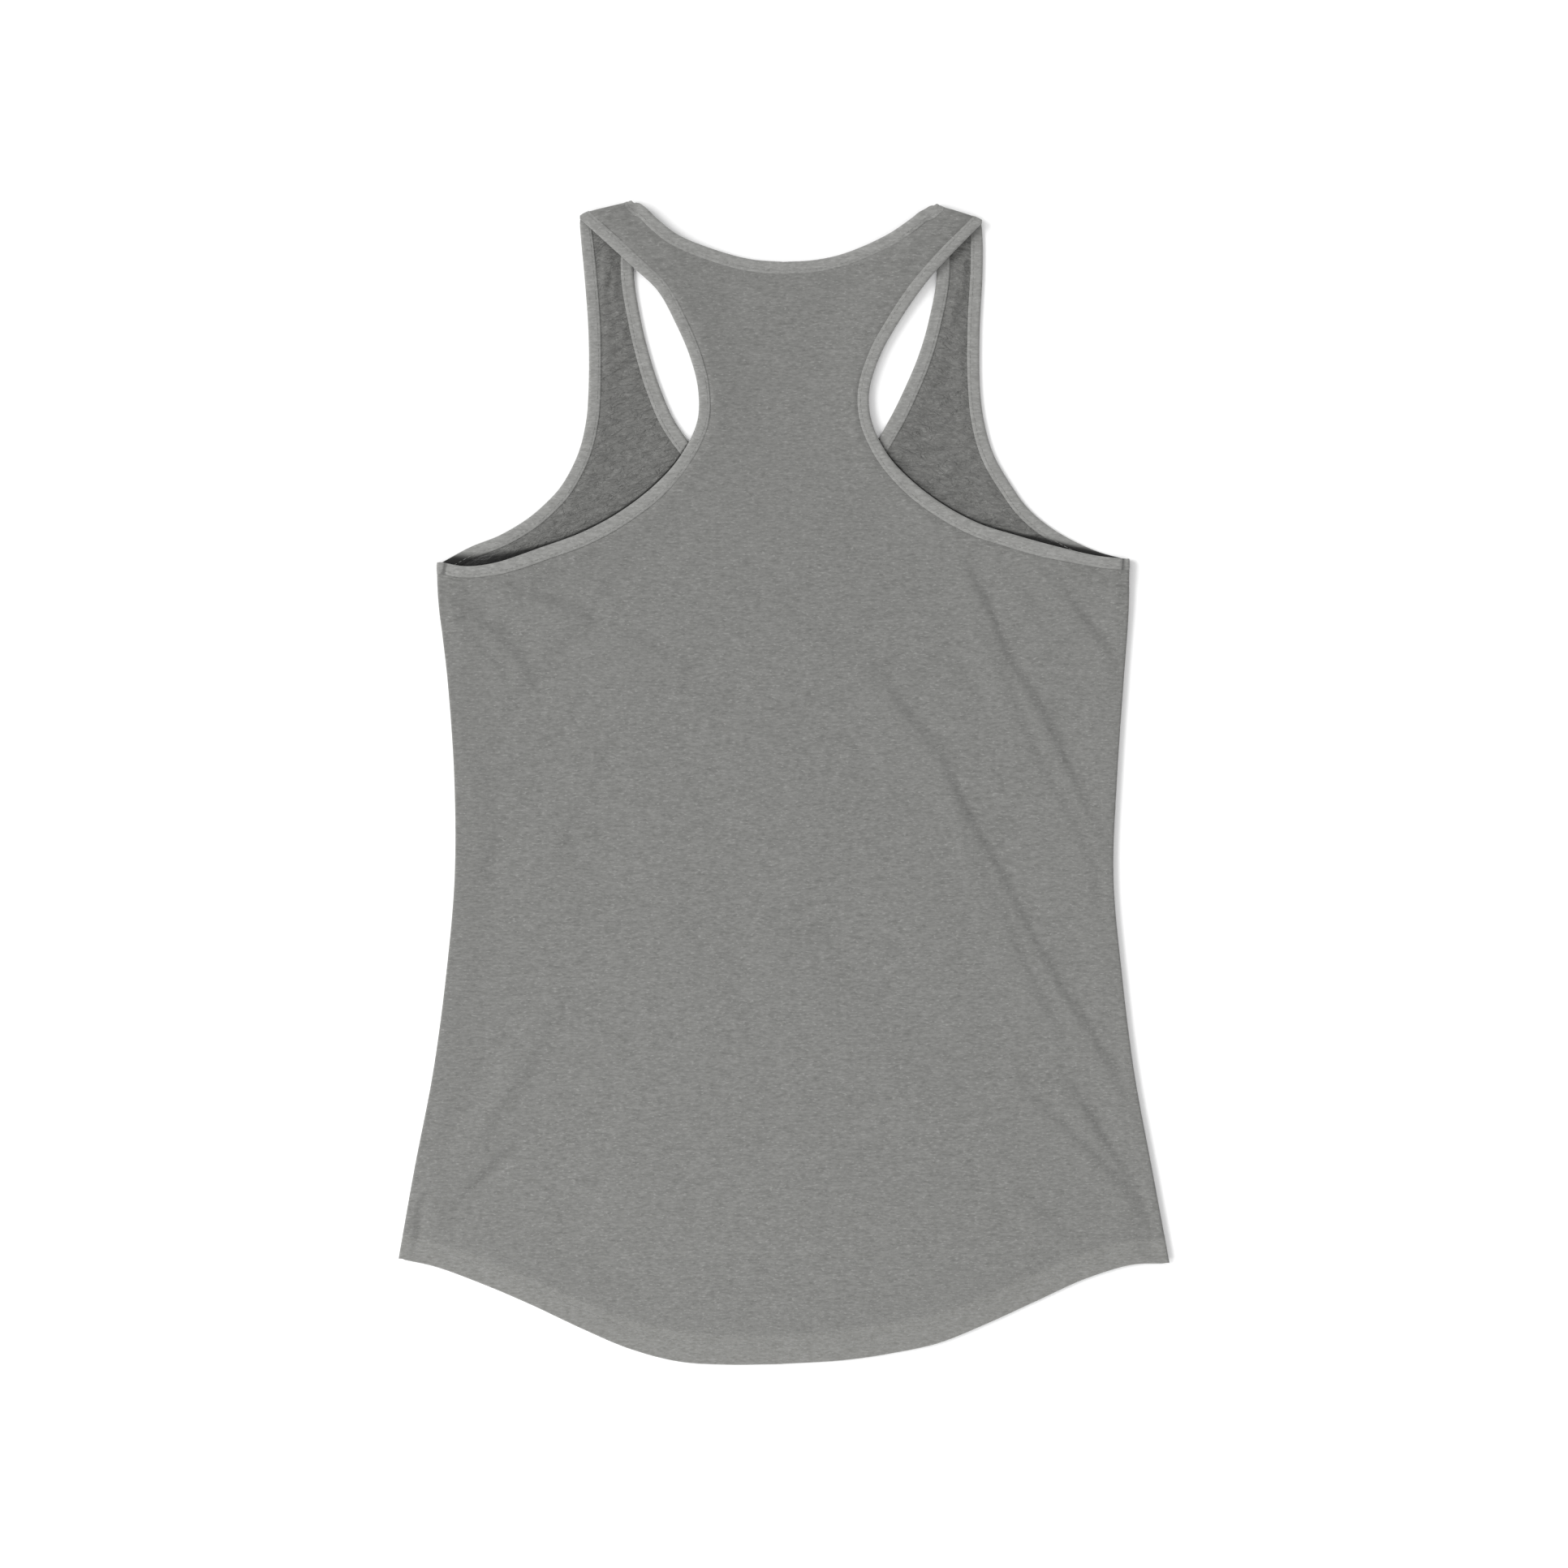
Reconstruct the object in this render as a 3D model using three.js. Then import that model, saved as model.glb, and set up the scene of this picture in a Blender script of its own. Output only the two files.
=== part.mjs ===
// A racerback tank top in jersey, laid flat with its back uppermost.
// Frame: millimetres, the cloth lies on z = 0, the neck points to +Y and the viewer looks down along -Z.
// Each panel is a wall of 1 mm on a grid of points. The edges of the neck and the armholes sit inside
// folded strips, and the two panels curl towards each other at the side seams and at the shoulders.

import * as THREE from 'three';

// Driving dimensions
const CLOTH = 1.0;                 // thickness of one ply of jersey
const HALF_CLOTH = CLOTH / 2;
const SEAM_GAP = 0.3;              // room between pieces that are sewn to each other
const FOLD_RADIUS = 2.1;           // middle of the cloth where it turns over at a side or a shoulder
const HEM_SHARE = 0.034;           // the hem's share of a panel's length: 16.8 mm at the centre
const HEM_STEP = 0.0026;           // the same share for the step where the turned-up ply ends
const FRONT_HEM_LIFT = 2.5;        // the front's hem stays hidden behind the back's

const BINDING_WIDTH = 6.8;         // what shows of a folded strip
const BINDING_HALF = 1.5 * CLOTH + SEAM_GAP;    // half the thickness of a bound edge
const PANEL_INSET = 2.3;           // a panel's cut edge lies this far inside its bound edge

// Heights of the middle of the outer ply
const FRONT_FIELD = HALF_CLOTH;
const FRONT_EDGE = BINDING_HALF;
const BACK_FIELD = 2.6;
const BACK_HEM = 2 * CLOTH + SEAM_GAP + 1.5 * CLOTH;
const BACK_EDGE = FRONT_EDGE + 2 * FOLD_RADIUS;
const BACK_NECK_LOW = 3.0;
const BACK_OVER_SCOOP = 4.6;       // clears the front's bound neck, which lies under the back

// Each row of these: how far from that edge a panel stays level, and where it is down at its field
const FRONT_RISE = { neck: [9, 22], armhole: [9, 22], shoulder: [9, 26] };
const BACK_RISE = {
  side: [0.5, 20], hem: [20, 44], armhole: [9, 38], neck: [9, 34], scoop: [11, 40], shoulder: [12, 40],
};
const BACK_NECK_RISE = [28, 72];   // from the centre, where the back's bound neck starts and ends to rise

// Where the straps and the racer part begin
const FRONT_STRAP_FOOT = { neckY: 208, armY: 188 };
const RACER = { centreY: 148, armY: 192, neckX: 58, strapY: 294 };

// Counts of cells in the grids of the two panels
const FRONT_GRID = { neck: 5, armhole: 6, body: 12, strap: 9 };
const BACK_GRID = { neck: 6, armhole: 9, body: 21, racer: 9, strap: 4 };
const HEM_ROWS = [0, HEM_SHARE, HEM_SHARE + HEM_STEP, 0.052];
const EVEN_ROWS = [0.075, 0.945];
const ARMHOLE_ROWS = [0.968, 0.984, 1];
const ARMPIT_SHARE = 0.9;          // from here up the side seam bends to where the armhole turns over
const SIDE_MARGINS = [16, 7];      // the last even column and the one after it, from the side seam
const TURN_SHARES = [0, 0.36, 0.7, 1];
const TURN_STEPS = 6;

// Outlines of the laid-out garment. Each half has its own column: x is the distance from the centre
// line, y runs from the hem to the neck.
const SIDE_SEAM = [
  { y: -284.0, left: 228.0, right: 228.0 },
  { y: -228.7, left: 218.2, right: 217.7 },
  { y: -171.1, left: 207.1, right: 207.1 },
  { y: -113.5, left: 199.4, right: 199.9 },
  { y: -55.9, left: 194.4, right: 194.9 },
  { y: 1.7, left: 194.6, right: 197.0 },
  { y: 59.3, left: 198.5, right: 200.9 },
  { y: 100.0, left: 203.0, right: 203.8 },
  { y: 131.0, left: 204.7, right: 204.2 },
];

const HEM = [
  { x: 0, left: -343.4, right: -343.2 },
  { x: 34, left: -343.7, right: -341.2 },
  { x: 62, left: -341.8, right: -337.3 },
  { x: 91, left: -334.3, right: -331.0 },
  { x: 120, left: -322.0, right: -319.4 },
  { x: 149, left: -308.3, right: -306.2 },
  { x: 178, left: -296.0, right: -293.0 },
  { x: 206, left: -285.8, right: -284.6 },
  { x: 228, left: -281.0, right: -283.9 },
];

// Ends of the line about which the cloth turns over at a shoulder
const SHOULDER = {
  left: { neck: [86.4, 340.4], arm: [120.4, 331.4] },
  right: { neck: [86.6, 338.0], arm: [116.4, 329.2] },
};

// Where the bound edges of front and back turn over at the side seam
const UNDERARM = { left: [202.1, 129.8], right: [201.6, 131.9] };

// Bound edges between their two ends, from the shoulder on
const BACK_ARMHOLE = [
  { left: [87.6, 302.6], right: [90.5, 302.2] },
  { left: [74.2, 289.7], right: [80.4, 289.7] },
  { left: [63.6, 270.5], right: [67.4, 270.5] },
  { left: [55.4, 251.3], right: [56.9, 251.3] },
  { left: [50.6, 232.1], right: [50.6, 230.0] },
  { left: [51.1, 212.9], right: [52.1, 212.9] },
  { left: [61.2, 192.2], right: [60.7, 194.6] },
  { left: [75.6, 175.9], right: [70.8, 182.6] },
  { left: [96.7, 159.6], right: [91.4, 165.8] },
  { left: [118.8, 147.6], right: [115.0, 152.9] },
  { left: [144.2, 138.2], right: [135.6, 146.2] },
  { left: [170.6, 129.4], right: [161.5, 139.0] },
  { left: [188.0, 127.4], right: [186.0, 133.4] },
];

const FRONT_ARMHOLE = [
  { left: [119.4, 316.0], right: [117.8, 316.0] },
  { left: [117.8, 299.3], right: [117.6, 299.3] },
  { left: [115.4, 265.0], right: [115.9, 265.0] },
  { left: [115.4, 232.1], right: [116.2, 232.1] },
  { left: [116.9, 212.9], right: [118.6, 212.9] },
  { left: [121.7, 193.7], right: [124.1, 193.7] },
  { left: [131.6, 174.8], right: [135.1, 174.5] },
  { left: [141.6, 163.9], right: [142.4, 164.2] },
  { left: [151.9, 155.3], right: [151.4, 155.3] },
  { left: [168.2, 145.7], right: [165.4, 145.7] },
  { left: [185.0, 139.0], right: [186.0, 136.1] },
];

const BACK_NECK = [
  { left: [80.8, 338.9], right: [80.8, 337.2] },
  { left: [74.6, 334.0], right: [75.4, 333.6] },
  { left: [62.2, 324.2], right: [61.7, 324.2] },
  { left: [34.3, 312.5], right: [36.2, 312.4] },
  { left: [18.0, 308.7], right: [18.0, 308.4] },
  { left: [0, 307.3], right: [0, 307.3] },
];

const FRONT_NECK = [
  { left: [88.6, 301.2], right: [90.5, 301.2] },
  { left: [83.8, 270.5], right: [85.2, 270.5] },
  { left: [79.0, 251.3], right: [79.4, 251.3] },
  { left: [72.7, 232.1], right: [71.3, 232.1] },
  { left: [64.1, 212.9], right: [61.7, 212.9] },
  { left: [48.0, 191.5], right: [48.0, 191.5] },
  { left: [28.0, 175.0], right: [28.0, 175.0] },
  { left: [0, 167.5], right: [0, 167.5] },
];

// The largest creases of the back, pulled from the armholes and from the hips towards the hem.
// depth is negative where the cloth stands up as a ridge, reach is the half width.
const CREASES = [
  { from: [104, 137], over: [150, 52], to: [190, -45], depth: 0.8, reach: 15 },
  { from: [30, 86], over: [105, 0], to: [196, -168], depth: 0.9, reach: 16 },
  { from: [148, -176], over: [180, -214], to: [214, -262], depth: 0.7, reach: 14 },
  { from: [-128, -120], over: [-165, -190], to: [-208, -256], depth: -0.7, reach: 15 },
  { from: [-186, 108], over: [-160, 84], to: [-136, 50], depth: 0.7, reach: 14 },
];

// Small helpers
const smoothStep = ([low, high], value) => THREE.MathUtils.smoothstep(value, low, high);
const mix = THREE.MathUtils.lerp;
const steps = (count) => Array.from({ length: count + 1 }, (_, index) => index / count);

// A smooth line through the rows, as evenly spaced points [x, y].
function smoothLine(rows) {
  const points = rows.map(([x, y]) => new THREE.Vector3(x, y, 0));
  const curve = new THREE.CatmullRomCurve3(points, false, 'centripetal');
  return curve.getSpacedPoints(160).map((point) => [point.x, point.y]);
}

// The unit vector across a line at one of its points, turned towards the cloth.
function across(line, index, towards) {
  const [x0, y0] = line[Math.max(index - 1, 0)];
  const [x1, y1] = line[Math.min(index + 1, line.length - 1)];
  const length = Math.hypot(x1 - x0, y1 - y0);
  return [(towards * (y1 - y0)) / length, (-towards * (x1 - x0)) / length];
}

function inset(line, distance, towards) {
  return line.map(([x, y], index) => {
    const [acrossX, acrossY] = across(line, index, towards);
    return [x + acrossX * distance, y + acrossY * distance];
  });
}

// The other coordinate where a line last crosses a value of x (axis 0) or of y (axis 1).
function crossing(line, axis, value) {
  for (let index = line.length - 1; index > 0; index -= 1) {
    const a = line[index - 1];
    const b = line[index];
    const inside = (a[axis] - value) * (b[axis] - value) <= 0;
    if (inside && a[axis] !== b[axis]) {
      return mix(a[1 - axis], b[1 - axis], (value - a[axis]) / (b[axis] - a[axis]));
    }
  }
  const nearEnd = Math.abs(line[0][axis] - value) < Math.abs(line.at(-1)[axis] - value);
  return nearEnd ? line[0][1 - axis] : line.at(-1)[1 - axis];
}

// Distance from a point to a line, and how far along the line its nearest point is, from 0 to 1.
function nearest(line, x, y) {
  let best = { distance: Infinity, along: 0 };
  for (let index = 1; index < line.length; index += 1) {
    const [ax, ay] = line[index - 1];
    const [bx, by] = line[index];
    const lengthSquared = (bx - ax) ** 2 + (by - ay) ** 2;
    const raw = ((x - ax) * (bx - ax) + (y - ay) * (by - ay)) / lengthSquared;
    const share = THREE.MathUtils.clamp(raw, 0, 1);
    const distance = Math.hypot(ax + share * (bx - ax) - x, ay + share * (by - ay) - y);
    if (distance < best.distance) {
      best = { distance, along: (index - 1 + share) / (line.length - 1) };
    }
  }
  return best;
}

// One half of the garment, with x as the distance from the centre line. sign puts it on its side.
function makeHalf(name, sign) {
  const { neck, arm } = SHOULDER[name];
  const column = (rows) => rows.map((row) => row[name]);
  const lines = {
    side: smoothLine(SIDE_SEAM.map((row) => [row[name] - FOLD_RADIUS - HALF_CLOTH, row.y])),
    hem: smoothLine(HEM.map((row) => [row.x, row[name]])),
    backArmhole: smoothLine([arm, ...column(BACK_ARMHOLE), UNDERARM[name]]),
    frontArmhole: smoothLine([arm, ...column(FRONT_ARMHOLE), UNDERARM[name]]),
    backNeck: smoothLine([neck, ...column(BACK_NECK)]),
    frontNeck: smoothLine([neck, ...column(FRONT_NECK)]),
    shoulder: smoothLine([neck, arm]),
  };
  const length = Math.hypot(arm[0] - neck[0], arm[1] - neck[1]);
  const along = [(arm[0] - neck[0]) / length, (arm[1] - neck[1]) / length];
  const outward = [-along[1], along[0]];
  return { name, sign, lines, neck, arm, underarm: UNDERARM[name], along, outward };
}

const HALVES = { left: makeHalf('left', -1), right: makeHalf('right', 1) };

// The cloth lies on this side of each bound edge, seen along the line from the shoulder.
const TOWARDS_CLOTH = { armhole: 1, neck: -1 };

// Heights
const CREASE_LINES = CREASES.map((crease) => smoothLine([crease.from, crease.over, crease.to]));

// A crease is deepest midway and fades to nothing at its ends and at its reach to either side.
function creaseDepth(x, y) {
  return CREASES.reduce((total, crease, index) => {
    const { distance, along } = nearest(CREASE_LINES[index], x, y);
    const acrossIt = Math.exp(-(((distance * 1.7) / crease.reach) ** 2));
    return total + crease.depth * Math.sin(Math.PI * along) * acrossIt;
  }, 0);
}

// How much of its rise a panel has at a point, from the distance to one of its edges.
function riseShare(line, range, x, y) {
  return 1 - smoothStep(range, nearest(line, x, y).distance);
}

function frontHeight(half, x, y) {
  const { frontNeck, frontArmhole, shoulder } = half.lines;
  const share = Math.max(
    riseShare(frontNeck, FRONT_RISE.neck, x, y),
    riseShare(frontArmhole, FRONT_RISE.armhole, x, y),
    riseShare(shoulder, FRONT_RISE.shoulder, x, y),
  );
  return mix(FRONT_FIELD, FRONT_EDGE, share);
}

function backNeckHeight(x) {
  return mix(BACK_NECK_LOW, BACK_EDGE, smoothStep(BACK_NECK_RISE, x));
}

function backHeight(half, x, y) {
  const { side, hem, backArmhole, backNeck, frontNeck, shoulder } = half.lines;
  const field = BACK_FIELD - creaseDepth(half.sign * x, y);
  const rises = [
    [frontHeight(half, x, y) + 2 * FOLD_RADIUS, riseShare(side, BACK_RISE.side, x, y)],
    [BACK_HEM, riseShare(hem, BACK_RISE.hem, x, y)],
    [BACK_EDGE, riseShare(backArmhole, BACK_RISE.armhole, x, y)],
    [backNeckHeight(x), riseShare(backNeck, BACK_RISE.neck, x, y)],
    [BACK_OVER_SCOOP, riseShare(frontNeck, BACK_RISE.scoop, x, y)],
    [BACK_EDGE, riseShare(shoulder, BACK_RISE.shoulder, x, y)],
  ];
  return Math.max(field, ...rises.map(([top, share]) => mix(field, top, share)));
}

// A panel is a grid of points with gaps where the neck and the armholes are. Rows run from the hem up,
// columns from the centre line out, and the left half has the negative columns.
class Panel {
  constructor(faces) {
    this.faces = faces;            // +1 where the outer side looks up, -1 where it looks down
    this.points = new Map();
  }

  put(half, row, column, x, y, z, { normal = null, inner = HALF_CLOTH } = {}) {
    const turned = normal && new THREE.Vector3(half.sign * normal[0], normal[1], normal[2]);
    const place = new THREE.Vector3(half.sign * x, y, z);
    const signed = half.sign * column;
    this.points.set(`${row},${signed}`, { row, column: signed, place, turned, inner });
  }

  // Rows of columns that turn over about a line: outward is the direction away from the cloth.
  turnOver(half, cell, [x, y], z, outward, inner) {
    const lastAngle = Math.PI / 2 - Math.asin(SEAM_GAP / 2 / FOLD_RADIUS);
    TURN_SHARES.forEach((share, index) => {
      const angle = share * lastAngle;
      const reach = FOLD_RADIUS * Math.sin(angle);
      const rise = FOLD_RADIUS * (1 - Math.cos(angle));
      const [row, column] = cell(index);
      const lean = Math.sin(angle);
      const normal = [outward[0] * lean, outward[1] * lean, this.faces * Math.cos(angle)];
      const height = z - this.faces * rise;
      this.put(half, row, column, x + outward[0] * reach, y + outward[1] * reach, height, { normal, inner });
    });
  }

  cells() {
    const found = [];
    for (const { row, column } of this.points.values()) {
      const corners = [[row, column], [row, column + 1], [row + 1, column + 1], [row + 1, column]];
      const keys = corners.map(([r, c]) => `${r},${c}`);
      if (keys.every((key) => this.points.has(key))) found.push(keys);
    }
    return found;
  }

  // The wall: outer and inner skin, and a rim along each side that only one cell has.
  geometry() {
    const cells = this.cells();
    const sums = new Map([...this.points.keys()].map((key) => [key, new THREE.Vector3()]));
    const rims = new Map();
    for (const keys of cells) {
      const [a, b, c, d] = keys.map((key) => this.points.get(key).place);
      const slope = c.clone().sub(a).cross(d.clone().sub(b)).multiplyScalar(this.faces);
      keys.forEach((key, index) => {
        sums.get(key).add(slope);
        const next = keys[(index + 1) % 4];
        if (rims.has(`${next}>${key}`)) rims.delete(`${next}>${key}`);
        else rims.set(`${key}>${next}`, [key, next]);
      });
    }
    const skins = new Map();
    for (const [key, { place, turned, inner }] of this.points) {
      const normal = turned ?? sums.get(key).normalize();
      const outer = place.clone().addScaledVector(normal, HALF_CLOTH);
      skins.set(key, { outer, inner: place.clone().addScaledVector(normal, -inner) });
    }
    const quads = [];
    for (const keys of cells) {
      quads.push(keys.map((key) => skins.get(key).outer));
      quads.push([...keys].reverse().map((key) => skins.get(key).inner));
    }
    for (const [key, next] of rims.values()) {
      const [a, b] = [skins.get(key), skins.get(next)];
      quads.push([b.outer, a.outer, a.inner, b.inner]);
    }
    return closedGeometry(quads);
  }
}

// Triangles from quads, turned over as a whole if they face inwards.
function closedGeometry(quads) {
  let triangles = quads.flatMap(([a, b, c, d]) => [[a, b, c], [a, c, d]]);
  const volume = triangles.reduce((sum, [a, b, c]) => sum + a.dot(b.clone().cross(c)), 0);
  if (volume < 0) triangles = triangles.map(([a, b, c]) => [a, c, b]);
  const geometry = new THREE.BufferGeometry();
  const numbers = triangles.flat().flatMap((corner) => corner.toArray());
  geometry.setAttribute('position', new THREE.Float32BufferAttribute(numbers, 3));
  geometry.computeVertexNormals();
  return geometry;
}

// Shares of a panel's length at which its body has a row.
function bodyShares(count) {
  const even = steps(count).map((share) => mix(EVEN_ROWS[0], EVEN_ROWS[1], share));
  return [...HEM_ROWS, ...even, ...ARMHOLE_ROWS];
}

// The body below the armholes. tops lists, from the centre out, the points that its columns reach.
function addBody(panel, half, tops, count, height, hemLift) {
  const { side, hem, shoulder } = half.lines;
  const last = tops.length - 1;
  const [cornerX, armpitY] = [crossing(side, 1, hem.at(-1)[1]), tops[last][1]];
  const cornerY = crossing(hem, 0, cornerX) + hemLift;
  bodyShares(count).forEach((share, row) => {
    const sideY = mix(cornerY, armpitY, share);
    const sideX = mix(crossing(side, 1, sideY), tops[last][0], smoothStep([ARMPIT_SHARE, 1], share));
    const inner = share <= HEM_SHARE ? HALF_CLOTH + CLOTH : HALF_CLOTH;
    tops.forEach(([topX, topY], column) => {
      const width = topX / tops[last][0];
      const hemY = crossing(hem, 0, width * cornerX) + hemLift;
      const [x, y] = [width * sideX, column === last ? sideY : mix(hemY, topY, share)];
      const z = height(half, x, y);
      if (column < last) {
        panel.put(half, row, column, x, y, z, { inner });
      } else {
        panel.turnOver(half, (index) => [row, column + index], [x, y], z, [1, 0], inner);
      }
    });
  });
  return bodyShares(count).length - 1;
}

// A strap from its foot up to the shoulder, between a bound neck edge and a bound armhole edge.
// foot has the row and column of its inner corner, and the heights of its two corners.
function addStrap(panel, half, foot, neckLine, armLine, columnParts, count, height) {
  const neckEnd = half.neck.map((value, axis) => value + PANEL_INSET * half.along[axis]);
  const armEnd = half.arm.map((value, axis) => value - PANEL_INSET * half.along[axis]);
  for (const share of steps(count).slice(1)) {
    const row = foot.row + Math.round(share * count);
    const [innerY, outerY] = [mix(foot.neckY, neckEnd[1], share), mix(foot.armY, armEnd[1], share)];
    const atEnd = share === 1;
    const innerX = atEnd ? neckEnd[0] : crossing(neckLine, 1, innerY);
    const outerX = atEnd ? armEnd[0] : crossing(armLine, 1, outerY);
    columnParts(share).forEach((part, index) => {
      const [x, y] = [mix(innerX, outerX, part), mix(innerY, outerY, part)];
      const column = foot.column + index;
      const z = height(half, x, y);
      if (atEnd) {
        panel.turnOver(half, (turn) => [row + turn, column], [x, y], z, half.outward, HALF_CLOTH);
      } else {
        panel.put(half, row, column, x, y, z);
      }
    });
  }
}

// Columns of a body between x values along a line of the armhole, closer where the side seam is.
function armholeTops(half, line, fromX, count) {
  const reach = half.underarm[0];
  const even = steps(count).slice(1).map((share) => mix(fromX, reach - SIDE_MARGINS[0], share));
  const tops = [...even, reach - SIDE_MARGINS[1]].map((x) => [x, crossing(line, 0, x)]);
  return [...tops, [reach, half.underarm[1] - PANEL_INSET]];
}

// Columns across a strap, from its wide foot (share 0) to the shoulder (share 1).
function strapColumns(share) {
  const edge = mix(0.1, 0.22, share);
  return [0, edge, 0.5, 1 - edge, 1];
}

function makeFront() {
  const panel = new Panel(-1);
  for (const half of [HALVES.left, HALVES.right]) {
    const neckLine = inset(half.lines.frontNeck, PANEL_INSET, TOWARDS_CLOTH.neck);
    const armLine = inset(half.lines.frontArmhole, PANEL_INSET, TOWARDS_CLOTH.armhole);
    const { neckY, armY } = FRONT_STRAP_FOOT;
    const [neckX, armX] = [crossing(neckLine, 1, neckY), crossing(armLine, 1, armY)];
    const neckXs = steps(FRONT_GRID.neck).slice(0, -1).map((share) => share * neckX);
    const tops = [
      ...neckXs.map((x) => [x, crossing(neckLine, 0, x)]),
      ...strapColumns(0).map((part) => [mix(neckX, armX, part), mix(neckY, armY, part)]),
      ...armholeTops(half, armLine, armX, FRONT_GRID.armhole),
    ];
    const row = addBody(panel, half, tops, FRONT_GRID.body, frontHeight, FRONT_HEM_LIFT);
    const foot = { row, column: FRONT_GRID.neck, neckY, armY };
    addStrap(panel, half, foot, neckLine, armLine, strapColumns, FRONT_GRID.strap, frontHeight);
  }
  return panel.geometry();
}

function makeBack() {
  const panel = new Panel(1);
  for (const half of [HALVES.left, HALVES.right]) {
    const neckLine = inset(half.lines.backNeck, PANEL_INSET, TOWARDS_CLOTH.neck);
    const armLine = inset(half.lines.backArmhole, PANEL_INSET, TOWARDS_CLOTH.armhole);
    const shoulderParts = strapColumns(1);
    const footX = crossing(armLine, 1, RACER.armY);
    const strapX = crossing(armLine, 1, RACER.strapY);
    const neckY = crossing(neckLine, 0, RACER.neckX);

    // The body reaches up to a line from the centre to the armhole, and then to the armhole itself.
    const base = steps(BACK_GRID.neck + shoulderParts.length - 1).map((share) => [
      share * footX, mix(RACER.centreY, RACER.armY, share),
    ]);
    const tops = [...base, ...armholeTops(half, armLine, footX, BACK_GRID.armhole)];
    const baseRow = addBody(panel, half, tops, BACK_GRID.body, backHeight, 0);

    // The racer part between the armholes reaches the neck, and then the foot of the strap.
    const neckXs = steps(BACK_GRID.neck).slice(0, -1).map((share) => share * RACER.neckX);
    const crowns = [
      ...neckXs.map((x) => [x, crossing(neckLine, 0, x)]),
      ...shoulderParts.map((part) => [mix(RACER.neckX, strapX, part), mix(neckY, RACER.strapY, part)]),
    ];
    for (const share of steps(BACK_GRID.racer).slice(1)) {
      const row = baseRow + Math.round(share * BACK_GRID.racer);
      const waist = crossing(armLine, 1, mix(RACER.armY, RACER.strapY, share)) / mix(footX, strapX, share);
      base.forEach(([baseX, baseY], column) => {
        const x = mix(baseX, crowns[column][0], share) * waist;
        const y = mix(baseY, crowns[column][1], share);
        panel.put(half, row, column, x, y, backHeight(half, x, y));
      });
    }
    const foot = { row: baseRow + BACK_GRID.racer, column: BACK_GRID.neck, neckY, armY: RACER.strapY };
    addStrap(panel, half, foot, neckLine, armLine, () => shoulderParts, BACK_GRID.strap, backHeight);
  }
  return panel.geometry();
}

// A folded strip in section: a along the cloth from the bound edge, b along its outer normal.
const SLOT_HALF = HALF_CLOTH + SEAM_GAP;
const SLOT_END = CLOTH + SEAM_GAP;
const NOSE = { back: 1.1, front: 0.2, half: 0.9 };    // the rounded fold of the strip
const BINDING_SECTION = [
  [BINDING_WIDTH, BINDING_HALF], [NOSE.back, BINDING_HALF], [NOSE.front, NOSE.half],
  [NOSE.front, -NOSE.half], [NOSE.back, -BINDING_HALF], [BINDING_WIDTH, -BINDING_HALF],
  [BINDING_WIDTH, -SLOT_HALF], [SLOT_END, -SLOT_HALF], [SLOT_END, SLOT_HALF], [BINDING_WIDTH, SLOT_HALF],
];

// A bound edge has a section at every so many points of its line.
const STATION_EVERY = { frontArmhole: 6, backArmhole: 5, frontNeck: 8, backNeck: 10 };

// Stations of a bound edge that lies flat: where it is, which way the cloth lies, which way it faces.
function edgeStations(half, edge, towards, height, faces) {
  const line = half.lines[edge];
  const count = Math.round((line.length - 1) / STATION_EVERY[edge]);
  return steps(count).slice(1, -1).map((share) => {
    const index = Math.round(share * (line.length - 1));
    const [x, y] = line[index];
    const [acrossX, acrossY] = across(line, index, towards);
    return {
      place: new THREE.Vector3(half.sign * x, y, height(x)),
      inward: new THREE.Vector3(half.sign * acrossX, acrossY, 0),
      normal: new THREE.Vector3(0, 0, faces),
    };
  });
}

// Stations where a bound edge turns over, from the front up to the back.
function turnStations(half, [x, y], outward, inward) {
  return steps(TURN_STEPS).map((share) => {
    const angle = Math.PI * share;
    const reach = FOLD_RADIUS * Math.sin(angle);
    const height = FRONT_EDGE + FOLD_RADIUS * (1 - Math.cos(angle));
    const lean = Math.sin(angle);
    return {
      place: new THREE.Vector3(half.sign * (x + outward[0] * reach), y + outward[1] * reach, height),
      inward: new THREE.Vector3(half.sign * inward[0], inward[1], 0),
      normal: new THREE.Vector3(half.sign * outward[0] * lean, outward[1] * lean, -Math.cos(angle)),
    };
  });
}

function bindingGeometry(stations) {
  const rings = stations.map(({ place, inward, normal }) => BINDING_SECTION.map(
    ([a, b]) => place.clone().addScaledVector(inward, a).addScaledVector(normal, b),
  ));
  const quads = [];
  rings.forEach((ring, index) => {
    const next = rings[(index + 1) % rings.length];
    ring.forEach((corner, at) => {
      const after = (at + 1) % ring.length;
      quads.push([corner, ring[after], next[after], next[at]]);
    });
  });
  return closedGeometry(quads);
}

function makeArmholeBinding(half) {
  const { armhole } = TOWARDS_CLOTH;
  const down = [0, -1];
  const towardsNeck = half.along.map((value) => -value);
  return bindingGeometry([
    ...edgeStations(half, 'frontArmhole', armhole, () => FRONT_EDGE, -1),
    ...turnStations(half, half.underarm, [1, 0], down),
    ...edgeStations(half, 'backArmhole', armhole, () => BACK_EDGE, 1).reverse(),
    ...turnStations(half, half.arm, half.outward, towardsNeck).reverse(),
  ]);
}

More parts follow.
